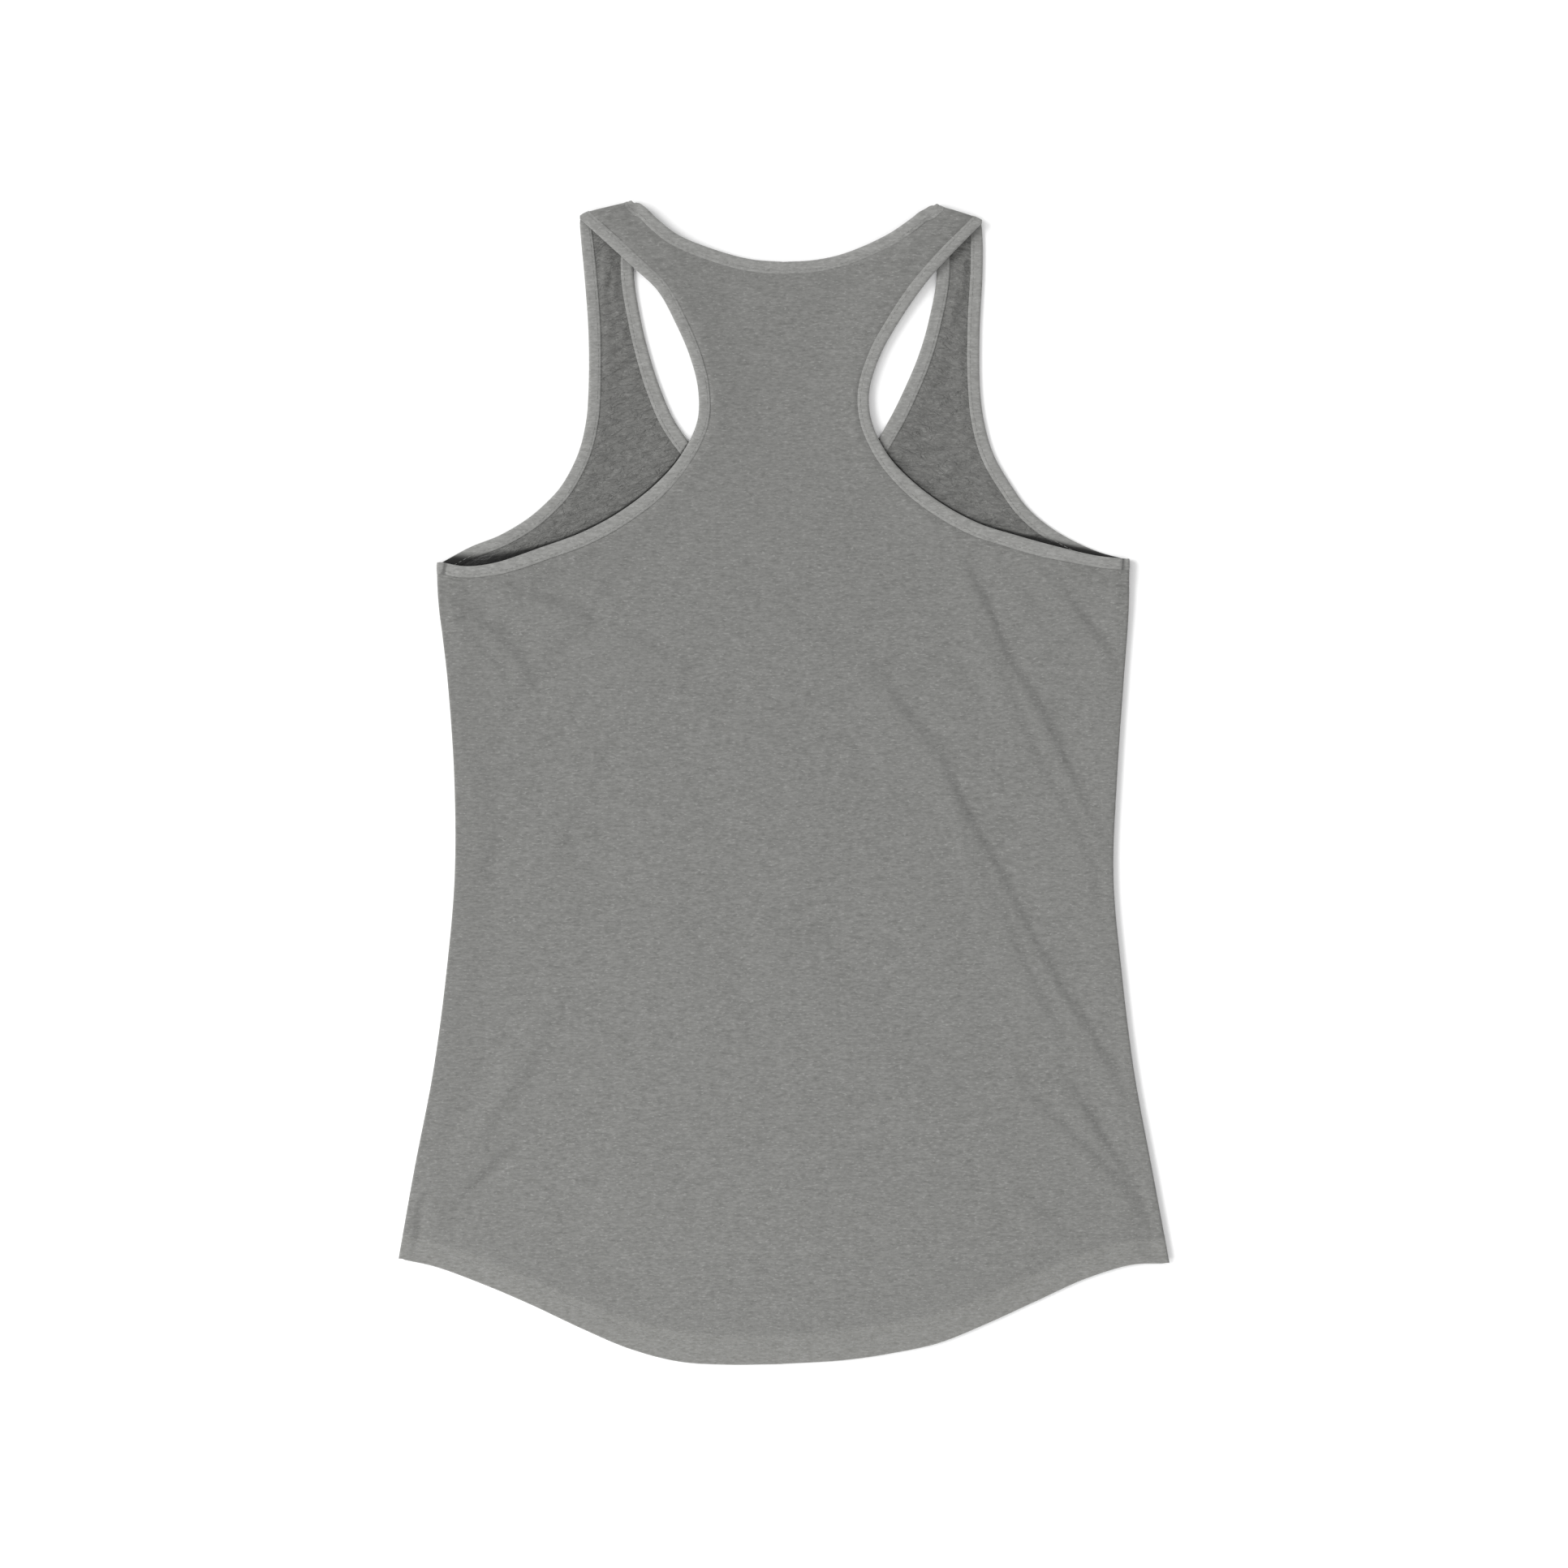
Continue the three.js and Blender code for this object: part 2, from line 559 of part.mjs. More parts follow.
function makeNeckBinding() {
  const { left, right } = HALVES;
  const { neck } = TOWARDS_CLOTH;
  const front = (half) => edgeStations(half, 'frontNeck', neck, () => FRONT_EDGE, -1);
  const back = (half) => edgeStations(half, 'backNeck', neck, backNeckHeight, 1);
  const turn = (half) => turnStations(half, half.neck, half.outward, half.along);
  const centre = (line, height, faces) => ({
    place: new THREE.Vector3(0, line.at(-1)[1], height),
    inward: new THREE.Vector3(0, -1, 0),
    normal: new THREE.Vector3(0, 0, faces),
  });
  return bindingGeometry([
    ...front(left), centre(left.lines.frontNeck, FRONT_EDGE, -1), ...front(right).reverse(),
    ...turn(right),
    ...back(right), centre(left.lines.backNeck, BACK_NECK_LOW, 1), ...back(left).reverse(),
    ...turn(left).reverse(),
  ]);
}

// The garment
const OUTSIDE_GREY = '#868684';
const INSIDE_GREY = '#7c7c7a';
const BINDING_GREY = '#929290';

function makeCloth(name, geometry, color) {
  const material = new THREE.MeshStandardMaterial({ color, roughness: 0.9, metalness: 0 });
  const mesh = new THREE.Mesh(geometry, material);
  mesh.name = name;
  return mesh;
}

const tankTop = new THREE.Group();
tankTop.add(makeCloth('front_panel', makeFront(), INSIDE_GREY));
tankTop.add(makeCloth('back_panel', makeBack(), OUTSIDE_GREY));
tankTop.add(makeCloth('neck_binding', makeNeckBinding(), BINDING_GREY));
tankTop.add(makeCloth('armhole_binding_left', makeArmholeBinding(HALVES.left), BINDING_GREY));
tankTop.add(makeCloth('armhole_binding_right', makeArmholeBinding(HALVES.right), BINDING_GREY));

export default tankTop;
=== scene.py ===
import math

import bpy
import numpy as np
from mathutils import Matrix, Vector


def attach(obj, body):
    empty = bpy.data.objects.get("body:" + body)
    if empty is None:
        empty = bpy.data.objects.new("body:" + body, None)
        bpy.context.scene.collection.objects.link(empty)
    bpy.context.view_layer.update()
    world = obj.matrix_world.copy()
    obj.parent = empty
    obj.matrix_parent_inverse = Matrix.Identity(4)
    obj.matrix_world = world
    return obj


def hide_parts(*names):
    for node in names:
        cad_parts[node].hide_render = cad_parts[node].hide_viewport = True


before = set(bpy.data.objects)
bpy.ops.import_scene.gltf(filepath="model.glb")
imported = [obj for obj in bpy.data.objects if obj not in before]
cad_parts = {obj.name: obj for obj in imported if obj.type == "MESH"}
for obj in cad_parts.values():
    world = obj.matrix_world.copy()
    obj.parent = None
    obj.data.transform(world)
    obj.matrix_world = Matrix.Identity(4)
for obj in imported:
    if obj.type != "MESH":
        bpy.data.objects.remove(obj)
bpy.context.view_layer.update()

# A racerback tank top in heather jersey, laid flat with its back uppermost. All sizes here are in
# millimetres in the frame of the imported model, and become metres where a mesh is made.

MM = 0.001
SEED = 7

# Cloth
HALF_PLY = 0.45               # half of a ply of jersey, drawn a little thicker than the real 0.7 mm
SEAM_GAP = 0.12
FOLD_RADIUS = 2.1             # half the height between the plies where they turn over at a shoulder
SIDE_FOLD_RADIUS = 1.7        # the same at a side
FOLD_SQUARENESS = 0.5         # 1 turns over in a half circle, less in a tighter, squarer bend
BINDING_WIDTH = 6.8           # at the shoulders; elsewhere as strip_width gives it
BINDING_HALF = 1.35           # half the thickness of a bound edge
PANEL_INSET = 1.9             # a panel's cut edge lies this far inside its bound edge
HEM_SHARE = 0.034             # the hem's share of a panel's length, 16.8 mm at the centre
FRONT_HEM_LIFT = 2.5          # the front's hem stays hidden behind the back's

# Heights of the middle of the outer ply
FRONT_FIELD = HALF_PLY
FRONT_EDGE = BINDING_HALF
BACK_FIELD = 2.6
BACK_HEM = 3.5
BACK_EDGE = FRONT_EDGE + 2 * FOLD_RADIUS
BACK_WAIST_EDGE = 4.1         # a bound edge of the racer part, where no turned edge holds it up
BACK_NECK_LOW = 2.9
BACK_OVER_SCOOP = 4.1

# How far from an edge a panel stays level, and where it is down at its field
FRONT_RISE = {"neck": (8, 22), "armhole": (8, 20), "shoulder": (8, 26)}
BACK_RISE = {
    "side": (2, 26),
    "hem": (19, 46),
    "armhole": (8, 40),
    "neck": (8.5, 36),
    "scoop": (9, 44),
    "shoulder": (12, 42),
}
BACK_NECK_RISE = (28, 72)

# Outlines: each half has its own row of (x, y), where x is the distance from the centre line.
SIDE_SEAM = {
    "left": [(228.0, -284.0), (218.2, -228.7), (207.1, -171.1), (199.4, -113.5), (194.4, -55.9),
             (194.6, 1.7), (198.5, 59.3), (203.0, 100.0), (204.7, 131.0)],
    "right": [(228.0, -284.0), (217.7, -228.7), (207.1, -171.1), (199.9, -113.5), (194.9, -55.9),
              (197.0, 1.7), (200.9, 59.3), (203.8, 100.0), (204.2, 131.0)],
}
HEM = {
    "left": [(0, -343.4), (34, -343.7), (62, -341.8), (91, -334.3), (120, -322.0), (149, -308.3),
             (178, -296.0), (206, -285.8), (228, -281.0)],
    "right": [(0, -343.2), (34, -341.2), (62, -337.3), (91, -331.0), (120, -319.4), (149, -306.2),
              (178, -293.0), (206, -284.6), (228, -283.9)],
}
SHOULDER = {
    "left": {"neck": (87.0, 341.0), "arm": (120.8, 332.9)},
    "right": {"neck": (87.4, 338.9), "arm": (117.2, 329.9)},
}
UNDERARM = {"left": (202.1, 129.8), "right": (201.6, 131.9)}
BACK_ARMHOLE = {
    "left": [(87.6, 302.6), (74.2, 289.7), (63.6, 270.5), (55.4, 251.3), (50.6, 232.1), (51.1, 212.9),
             (61.2, 192.2), (75.6, 175.9), (96.7, 159.6), (118.8, 147.6), (144.2, 138.2), (170.6, 129.4),
             (188.0, 127.4)],
    "right": [(90.5, 302.2), (80.4, 289.7), (67.4, 270.5), (56.9, 251.3), (50.6, 230.0), (52.1, 212.9),
              (60.7, 194.6), (70.8, 182.6), (91.4, 165.8), (115.0, 152.9), (135.6, 146.2), (161.5, 139.0),
              (186.0, 133.4)],
}
FRONT_ARMHOLE = {
    "left": [(119.4, 316.0), (117.8, 299.3), (115.4, 265.0), (115.4, 232.1), (116.9, 212.9), (121.7, 193.7),
             (131.6, 174.8), (141.6, 163.9), (151.9, 155.3), (168.2, 145.7), (185.0, 139.0)],
    "right": [(117.8, 316.0), (117.6, 299.3), (115.9, 265.0), (116.2, 232.1), (118.6, 212.9), (124.1, 193.7),
              (135.1, 174.5), (142.4, 164.2), (151.4, 155.3), (165.4, 145.7), (186.0, 136.1)],
}
BACK_NECK = {
    "left": [(80.8, 338.3), (74.6, 332.5), (62.2, 323.0), (34.3, 312.5), (18.0, 308.7), (0, 307.3)],
    "right": [(80.8, 336.9), (75.4, 332.8), (61.7, 323.5), (36.2, 312.4), (18.0, 308.4), (0, 307.3)],
}
FRONT_NECK = {
    "left": [(88.6, 301.2), (83.8, 270.5), (79.0, 251.3), (72.7, 232.1), (64.1, 212.9), (48.0, 191.5),
             (28.0, 175.0), (0, 167.5)],
    "right": [(90.5, 301.2), (85.2, 270.5), (79.4, 251.3), (71.3, 232.1), (61.7, 212.9), (48.0, 191.5),
              (28.0, 175.0), (0, 167.5)],
}

# Where the racer part and the straps begin
RACER = {"centre_y": 148, "arm_y": 192, "neck_x": 58, "strap_y": 294}
FRONT_STRAP_FOOT = {"neck_y": 208, "arm_y": 188}

# Creases of the back, listed from their upper ends: depth is how far the cloth dips (a ridge is
# negative), and reach is how far the dip spreads towards the lit and towards the shaded side.
BACK_CREASES = [
    # From the right armhole down to the waist, a pair
    {"points": [(107, 137), (115, 120), (124, 102), (134, 77), (144, 61), (156.5, 40), (169, 13), (179, -9),
                (187.4, -26), (191, -40)], "depth": 1.15, "reach": (16, 3.0)},
    {"points": [(113, 106), (123.6, 81), (134, 60), (144, 36), (156.5, 7), (169, -14), (177, -30), (185, -52),
                (189, -80)], "depth": 0.6, "reach": (6, 3.4)},
    # Short ones below the right armhole
    {"points": [(124, 137), (134, 124.4), (144, 112), (150, 102)], "depth": 0.45, "reach": (6, 2.0)},
    {"points": [(150, 132), (160, 122), (170, 110), (187, 87), (202, 66)], "depth": 0.85, "reach": (8, 2.2)},
    {"points": [(172, 134), (188, 126), (203, 112)], "depth": 0.3, "reach": (5, 2.4)},
    # The long one from the right of the chest to the hip
    {"points": [(-30, 112), (0, 104), (33, 84), (60, 63)], "depth": 0.3, "reach": (9, 4)},
    {"points": [(48, 76), (61.8, 60.6), (74, 44), (86.5, 27.7), (96.8, 13.3), (106, -6), (114, -24)],
     "depth": 0.72, "reach": (17, 3.1)},
    {"points": [(98, 10), (107, -9.4), (117.4, -30), (127.7, -46.4), (138, -67), (148.3, -87.6),
                (158.6, -106), (168.9, -124.6), (181, -141), (189.4, -157.6), (199.7, -176), (206, -190)],
     "depth": 1.1, "reach": (17, 3.2)},
    {"points": [(108, -30), (123.6, -58.8), (133.9, -79.4), (144, -104), (152.4, -120.5), (160.6, -137),
                (168.9, -151.4)], "depth": 0.7, "reach": (6, 3.8)},
    {"points": [(160, -149), (175, -154), (199, -160)], "depth": 0.35, "reach": (3, 2.6)},
    # Towards the right end of the hem
    {"points": [(136, -166), (144, -178), (160.6, -194.6), (177, -211), (193.6, -227.6), (210, -248),
                (221, -270)],
     "depth": 0.75, "reach": (5, 2.8)},
    {"points": [(160, -164), (177, -186.4), (189.4, -207), (201.8, -227.6), (214, -252), (221, -268)],
     "depth": 0.9, "reach": (12, 2.8)},
    {"points": [(138, -236), (150, -247), (164, -260), (180, -272)], "depth": 0.45, "reach": (9, 3.6)},
    # From the left armpit
    {"points": [(-195, 115), (-184, 105), (-172, 95), (-162, 86), (-152, 74), (-143, 60)], "depth": 1.1,
     "reach": (9, 4.2)},
    {"points": [(-201, 119), (-197, 109), (-189, 97), (-180, 84), (-168, 70), (-160, 56)], "depth": 0.55,
     "reach": (3.6, 1.9)},
    {"points": [(-144, 66), (-141, 50), (-148, 30), (-158, 14)], "depth": 0.3, "reach": (8, 4)},
    # Below the left armhole, one falling to the chest and some down to the left side
    {"points": [(-172, 118), (-158, 115.5), (-141, 110.5), (-124, 105), (-110, 98)], "depth": 1.3,
     "reach": (8, 2.8)},
    {"points": [(-118, 103), (-100, 95), (-82, 87), (-64, 77), (-40, 60)], "depth": 0.45, "reach": (9, 3.4)},
    {"points": [(-83, 136), (-100, 116), (-112, 97.6), (-124.6, 83), (-141, 64.7), (-157.6, 44), (-170, 19),
                (-178, -6)], "depth": 0.5, "reach": (9, 4.2)},
    {"points": [(-112, 52), (-129, 32), (-145, 19), (-162, 3), (-176, -20)], "depth": 0.45, "reach": (8, 4)},
    {"points": [(-98, 24), (-112, -5), (-123, -26), (-132, -50)], "depth": 0.5, "reach": (8, 3.8)},
    {"points": [(-160, -16), (-168, -33), (-174, -50), (-180, -66)], "depth": 0.34, "reach": (7, 3)},
    # Towards the left end of the hem
    {"points": [(-126, -116), (-146, -157), (-164, -189), (-187, -226), (-208, -256)],
     "depth": -0.8, "reach": (6, 9)},
    {"points": [(-133, -138), (-145, -165.8), (-162, -190.5), (-178, -215), (-194.6, -236), (-209, -254)],
     "depth": 0.55, "reach": (8, 4)},
    {"points": [(-152, -210), (-170, -227.6), (-182, -240), (-203, -261)], "depth": 1.0, "reach": (7, 3.4)},
    {"points": [(-150, -122), (-172, -165), (-190, -198), (-209, -232)], "depth": 0.3, "reach": (6, 6)},
    {"points": [(-172, -276), (-150, -287), (-120, -294), (-88, -292)], "depth": 0.35, "reach": (5, 5)},
    {"points": [(-209, -240), (-215, -256), (-216, -266), (-217, -276)], "depth": 1.3, "reach": (3, 3)},
    {"points": [(206, -258), (214, -272), (221, -284)], "depth": 0.6, "reach": (5, 3)},
    {"points": [(197, 123), (202, 119.5), (208, 116)], "depth": 1.1, "reach": (2.4, 1.8)},
    # The racer part and the shoulders
    {"points": [(-62, 262), (-20, 240), (24, 244), (60, 268)], "depth": 0.3, "reach": (14, 14)},
    {"points": [(40, 320), (34, 290), (36, 262)], "depth": 0.25, "reach": (9, 6)},
    {"points": [(96, 328), (90, 320), (81, 308), (70, 292), (61.7, 279.6), (52, 262), (45, 245)],
     "depth": 0.75, "reach": (3, 3.8)},
    {"points": [(-116, 331), (-102, 326), (-92, 322)], "depth": 0.35, "reach": (3, 2)},
    {"points": [(-108, 336), (-101, 330), (-94, 328)], "depth": 0.3, "reach": (2.4, 2)},
    # Broad dips of the middle
    {"points": [(0, -60), (40, -104), (92, -160), (120, -214)], "depth": 0.35, "reach": (16, 18)},
    {"points": [(-60, -40), (-26, -110), (-14, -190)], "depth": 0.25, "reach": (18, 16)},
]

# Creases of the front that show through the armholes; here too a ridge is negative.
FRONT_CREASES = [
    # Left strap
    {"points": [(-104, 318), (-105, 304), (-108, 290), (-110, 274)], "depth": -1.8, "reach": (3.0, 2.2)},
    {"points": [(-97, 306), (-99, 296), (-102, 284)], "depth": -1.2, "reach": (2.4, 2.0)},
    {"points": [(-92, 284), (-97, 277), (-106, 266), (-109, 260)], "depth": -1.4, "reach": (2.6, 2.0)},
    {"points": [(-90, 268), (-98, 260), (-108, 250)], "depth": -1.2, "reach": (3, 2.2)},
    {"points": [(-88, 256), (-96, 250), (-106, 240)], "depth": -0.9, "reach": (3, 2.4)},
    {"points": [(-84, 238), (-92, 232), (-104, 228)], "depth": -0.9, "reach": (3, 3)},
    {"points": [(-80, 222), (-92, 219), (-108, 216)], "depth": -1.0, "reach": (4, 3)},
    # Left, towards the hollow
    {"points": [(-58, 196), (-72, 191), (-88, 184), (-104, 181)], "depth": -1.4, "reach": (3, 2.4)},
    {"points": [(-64, 188), (-80, 182), (-96, 174), (-122, 166)], "depth": -1.0, "reach": (3, 2.4)},
    {"points": [(-104, 178), (-124, 174), (-138, 166)], "depth": -1.0, "reach": (3, 2.6)},
    # Right strap
    {"points": [(112, 322), (109, 306), (104, 290), (98, 268)], "depth": -1.5, "reach": (2.6, 3.6)},
    {"points": [(92, 300), (96, 284), (104, 262)], "depth": -0.8, "reach": (3, 3)},
    {"points": [(112, 262), (102, 254), (92, 250)], "depth": -0.9, "reach": (3, 3)},
    {"points": [(82, 236), (92, 231), (108, 232)], "depth": -1.0, "reach": (3, 3)},
    {"points": [(88, 222), (100, 222), (114, 216)], "depth": -0.9, "reach": (3, 3)},
    # Right, towards the hollow
    {"points": [(112, 176), (120, 178), (128, 180)], "depth": -1.5, "reach": (2.6, 2.2)},
    {"points": [(122, 170), (130, 168), (138, 162)], "depth": -1.4, "reach": (2.6, 2.2)},
    {"points": [(84, 192), (98, 190), (112, 194)], "depth": -0.9, "reach": (3, 3)},
]

# Width of the painted shade that darkens the front in the hollow between it and the back's bound edge: (x, width)
PAINTED_SHADE_WIDTH = {
    "left": [(55, 0.3), (62, 1.0), (80, 1.2), (120, 1.5), (143, 1.6), (150, 2.4), (163, 4.2), (175, 6.6),
             (190, 7.2), (200, 5.4), (208, 3.4)],
    "right": [(55, 0.3), (62, 0.8), (100, 1.0), (124, 1.5), (142, 2.1), (152, 3.5), (167, 3.2), (180, 3.6),
              (190, 3.2), (197, 1.6), (204, 0.5)],
}

RIDGE_SHARE = 1.1             # height of the ridge beside a crease, as a share of the crease's depth
RIDGE_OFFSET = 1.7            # how far off it stands, in reaches of the shaded flank
RIDGE_REACH = 11              # how far it slopes down on its other side
CREASE_END = 2.6              # a crease counts as level beyond this many of its reaches
RIDGE_END = 2.2               # and its ridge beyond this many of its own
CREASE_SWING = 0.2            # how far a crease's depth swings along it, as a share

# Small crumples of the front's inside, which run from the armpit up towards the neck
CRUMPLES = {"height": 1.3, "lengths": (7, 20), "heading": math.radians(100), "spread": 0.5}
FRONT_LIFT = 1.8              # the crumpled cloth rises no higher than this
FRONT_PUFF = 0.15             # how far the cloth puffs up beside a strip
BACK_PUFF = 0.55
PUFF_SWING = 0.2              # unevenness of the back's puff
PUFF_LENGTHS = (14, 40)
BACK_RIPPLES = [(0.3, (55, 140)), (0.08, (14, 30))]    # height, shortest and longest wave
SOFT_JOIN = 5                 # the rises of the back run into one another, more sharply if larger
PAINTED_SHADE_FADE = (0.55, 1.35)    # where the painted shade fades out, as shares of its width

STEPS_PER_ROW = 24            # points of a smooth line between two of its rows
TURN_STEPS = 9                # points round a quarter turn
TURN_END = math.pi / 2 - 0.03
STRIP_SPREAD = 1.8            # how much wider the back's armhole strips show in their tightest bend
RIM_ROUNDING = 0.3            # how far the middle of a cut edge stands out, in wall thicknesses
SHARP_EDGE = math.radians(42)

HALVES = ("left", "right")
SIGN = {"left": -1, "right": 1}
# The cloth lies on this side of each bound edge, seen along the line from the shoulder.
TOWARDS_CLOTH = {"armhole": 1, "neck": -1}


# Lines and numbers

def mix(low, high, share):
    return low + (high - low) * share


def smooth_step(span, value):
    share = np.clip((value - span[0]) / (span[1] - span[0]), 0, 1)
    return share * share * (3 - 2 * share)


def table(rows, value):
    xs, ys = zip(*rows)
    return np.interp(value, xs, ys)


def resample(points, count):
    """Evenly spaced points along a line of points."""
    lengths = np.r_[0, np.cumsum(np.linalg.norm(np.diff(points, axis=0), axis=1))]
    at = np.linspace(0, lengths[-1], count)
    return np.stack([np.interp(at, lengths, points[:, axis]) for axis in range(points.shape[1])], axis=1)


def smooth_line(rows, count=321):
    """A smooth curve through the rows: a centripetal Catmull-Rom spline."""
    points = np.array(rows, float)
    ends = 2 * points[[0, -1]] - points[[1, -2]]
    padded = np.vstack([ends[:1], points, ends[1:]])
    pieces = []
    for corners in zip(padded, padded[1:], padded[2:], padded[3:]):
        gaps = [math.sqrt(np.linalg.norm(b - a)) for a, b in zip(corners, corners[1:])]
        knots = np.r_[0, np.cumsum(gaps)]
        t = np.linspace(knots[1], knots[2], STEPS_PER_ROW, endpoint=False)[:, None]

        def blend(first, second, start, end):
            return ((knots[end] - t) * first + (t - knots[start]) * second) / (knots[end] - knots[start])

        chords = [blend(corners[i], corners[i + 1], i, i + 1) for i in range(3)]
        bends = [blend(chords[i], chords[i + 1], i, i + 2) for i in range(2)]
        pieces.append(blend(bends[0], bends[1], 1, 2))
    return resample(np.vstack(pieces + [points[-1:]]), count)


def across(line, towards):
    """The unit vectors across a line at its points, turned towards the cloth."""
    run = np.gradient(line, axis=0)
    run /= np.linalg.norm(run, axis=1, keepdims=True)
    return towards * np.stack([run[:, 1], -run[:, 0]], axis=1)


def crossing(line, axis, values):
    """The other coordinate where a line last crosses values of x (axis 0) or of y (axis 1)."""
    found = []
    for value in np.atleast_1d(values):
        sides = np.signbit(line[:, axis] - value)
        cuts = np.nonzero(sides[1:] != sides[:-1])[0]
        if len(cuts):
            a, b = line[cuts[-1]], line[cuts[-1] + 1]
            found.append(mix(a[1 - axis], b[1 - axis], (value - a[axis]) / (b[axis] - a[axis])))
        else:
            found.append(line[np.argmin(abs(line[:, axis] - value)), 1 - axis])
    return np.array(found)


def nearest(line, x, y):
    """Distance to a line, positive on its left, and how far along it the nearest point is."""
    line = resample(line, 101)
    a, run = line[:-1], np.diff(line, axis=0)
    shape = np.shape(x)
    points = np.stack([np.ravel(x), np.ravel(y)], axis=1)[:, None] - a
    share = np.clip((points * run).sum(2) / (run * run).sum(1), 0, 1)
    gap = points - share[..., None] * run
    distance = np.linalg.norm(gap, axis=2)
    best = distance.argmin(1)
    pick = np.arange(len(best)), best
    side = np.sign(run[best, 0] * points[pick][:, 1] - run[best, 1] * points[pick][:, 0])
    signed = np.where(side == 0, 1, side) * distance[pick]
    along = (best + share[pick]) / len(run)
    return signed.reshape(shape), along.reshape(shape)


def waves(x, y, seed, lengths, heading=None, spread=math.pi, count=36):
    """Uneven ripples, as a sum of sines of many lengths: about -1 to 1."""
    draw = np.random.default_rng(seed)
    total = np.zeros(np.shape(x))
    for _ in range(count):
        angle = draw.uniform(-spread, spread) + (heading or 0)
        wave = 2 * math.pi / draw.uniform(*lengths)
        total += np.sin(wave * (math.cos(angle) * x + math.sin(angle) * y) + draw.uniform(0, 2 * math.pi))
    return total * 0.9 / math.sqrt(count)


# The garment's two halves

def side_radius(y):
    """The sides turn over more tightly than the underarms."""
    return mix(SIDE_FOLD_RADIUS, FOLD_RADIUS, smooth_step((84, 116), y))


class Half:
    """One half of the garment with its seams and edges as smooth lines."""

    def __init__(self, name):
        self.name = name
        self.sign = SIGN[name]
        self.neck = np.array(SHOULDER[name]["neck"])
        self.arm = np.array(SHOULDER[name]["arm"])
        self.underarm = np.array(UNDERARM[name])
        side = smooth_line(SIDE_SEAM[name])
        self.side = side - np.c_[side_radius(side[:, 1]) + HALF_PLY, 0 * side[:, 1]]
        self.hem = smooth_line(HEM[name])
        self.back_armhole = smooth_line([self.arm, *BACK_ARMHOLE[name], self.underarm])
        self.front_armhole = smooth_line([self.arm, *FRONT_ARMHOLE[name], self.underarm])
        self.back_neck = smooth_line([self.neck, *BACK_NECK[name]])
        self.front_neck = smooth_line([self.neck, *FRONT_NECK[name]])
        self.shoulder = smooth_line([self.neck, self.arm])
        self.along = (self.arm - self.neck) / np.linalg.norm(self.arm - self.neck)
        self.outward = np.array([-self.along[1], self.along[0]])


halves = [Half(name) for name in HALVES]
LEFT, RIGHT = halves


def crease_depth(creases, x, y):
    """How far the creases dip the cloth at points x, y of the garment."""
    total = np.zeros(np.shape(x))
    for number, crease in enumerate(creases):
        line = smooth_line(crease["points"], 101)
        lit, shaded = crease["reach"]
        margin = max(CREASE_END * lit, RIDGE_OFFSET * shaded + RIDGE_END * RIDGE_REACH)
        low, high = line.min(0) - margin, line.max(0) + margin
        near = (x > low[0]) & (x < high[0]) & (y > low[1]) & (y < high[1])
        signed, along = nearest(line, x[near], y[near])
        dip = np.exp(-((signed / np.where(signed > 0, lit, shaded)) ** 2))
        if crease["depth"] > 0:
            # Beside the shaded flank of a dip the cloth stands up in a soft ridge.
            beside = signed + RIDGE_OFFSET * shaded
            dip -= RIDGE_SHARE * np.exp(-((beside / np.where(beside > 0, shaded, RIDGE_REACH)) ** 2))
        fade = np.clip(np.sin(math.pi * along), 0, 1) ** 0.5
        uneven = 1 + CREASE_SWING * np.sin(7 * along + number)
        total[near] += crease["depth"] * fade * uneven * dip
    return total


def strip_width(edge, x, y):
    """How wide a strip shows: it spreads where its edge curves most."""
    if edge == "back_neck":
        return 7.4 + 0 * x
    if edge == "front_neck":
        return mix(7.8, 9.0, 1 - smooth_step((205, 290), y))
    if edge == "front_armhole":
        return mix(7.5, BINDING_WIDTH, smooth_step((150, 190), x))
    spread = smooth_step((54, 84), x) * (1 - smooth_step((146, 186), x)) * (1 - smooth_step((186, 224), y))
    return BINDING_WIDTH + STRIP_SPREAD * spread


def back_edge_height(x, y):
    """The back's bound armhole is high at both of its turned ends and sinks between them."""
    ends = np.maximum(smooth_step((262, 318), y), smooth_step((96, 176), x))
    return mix(BACK_WAIST_EDGE, BACK_EDGE, ends)


def beside_strip(distance, width):
    """1 where the cloth puffs up beside a strip, 0 within it and far from it."""
    away = distance - width
    return smooth_step((-0.4, 2.0), away) * (1 - smooth_step((2.5, 13), away))


def rise_share(line, span, x, y):
    """How much of its rise the front has at a point, from the distance to one of its edges."""
    return 1 - smooth_step(span, abs(nearest(line, x, y)[0]))


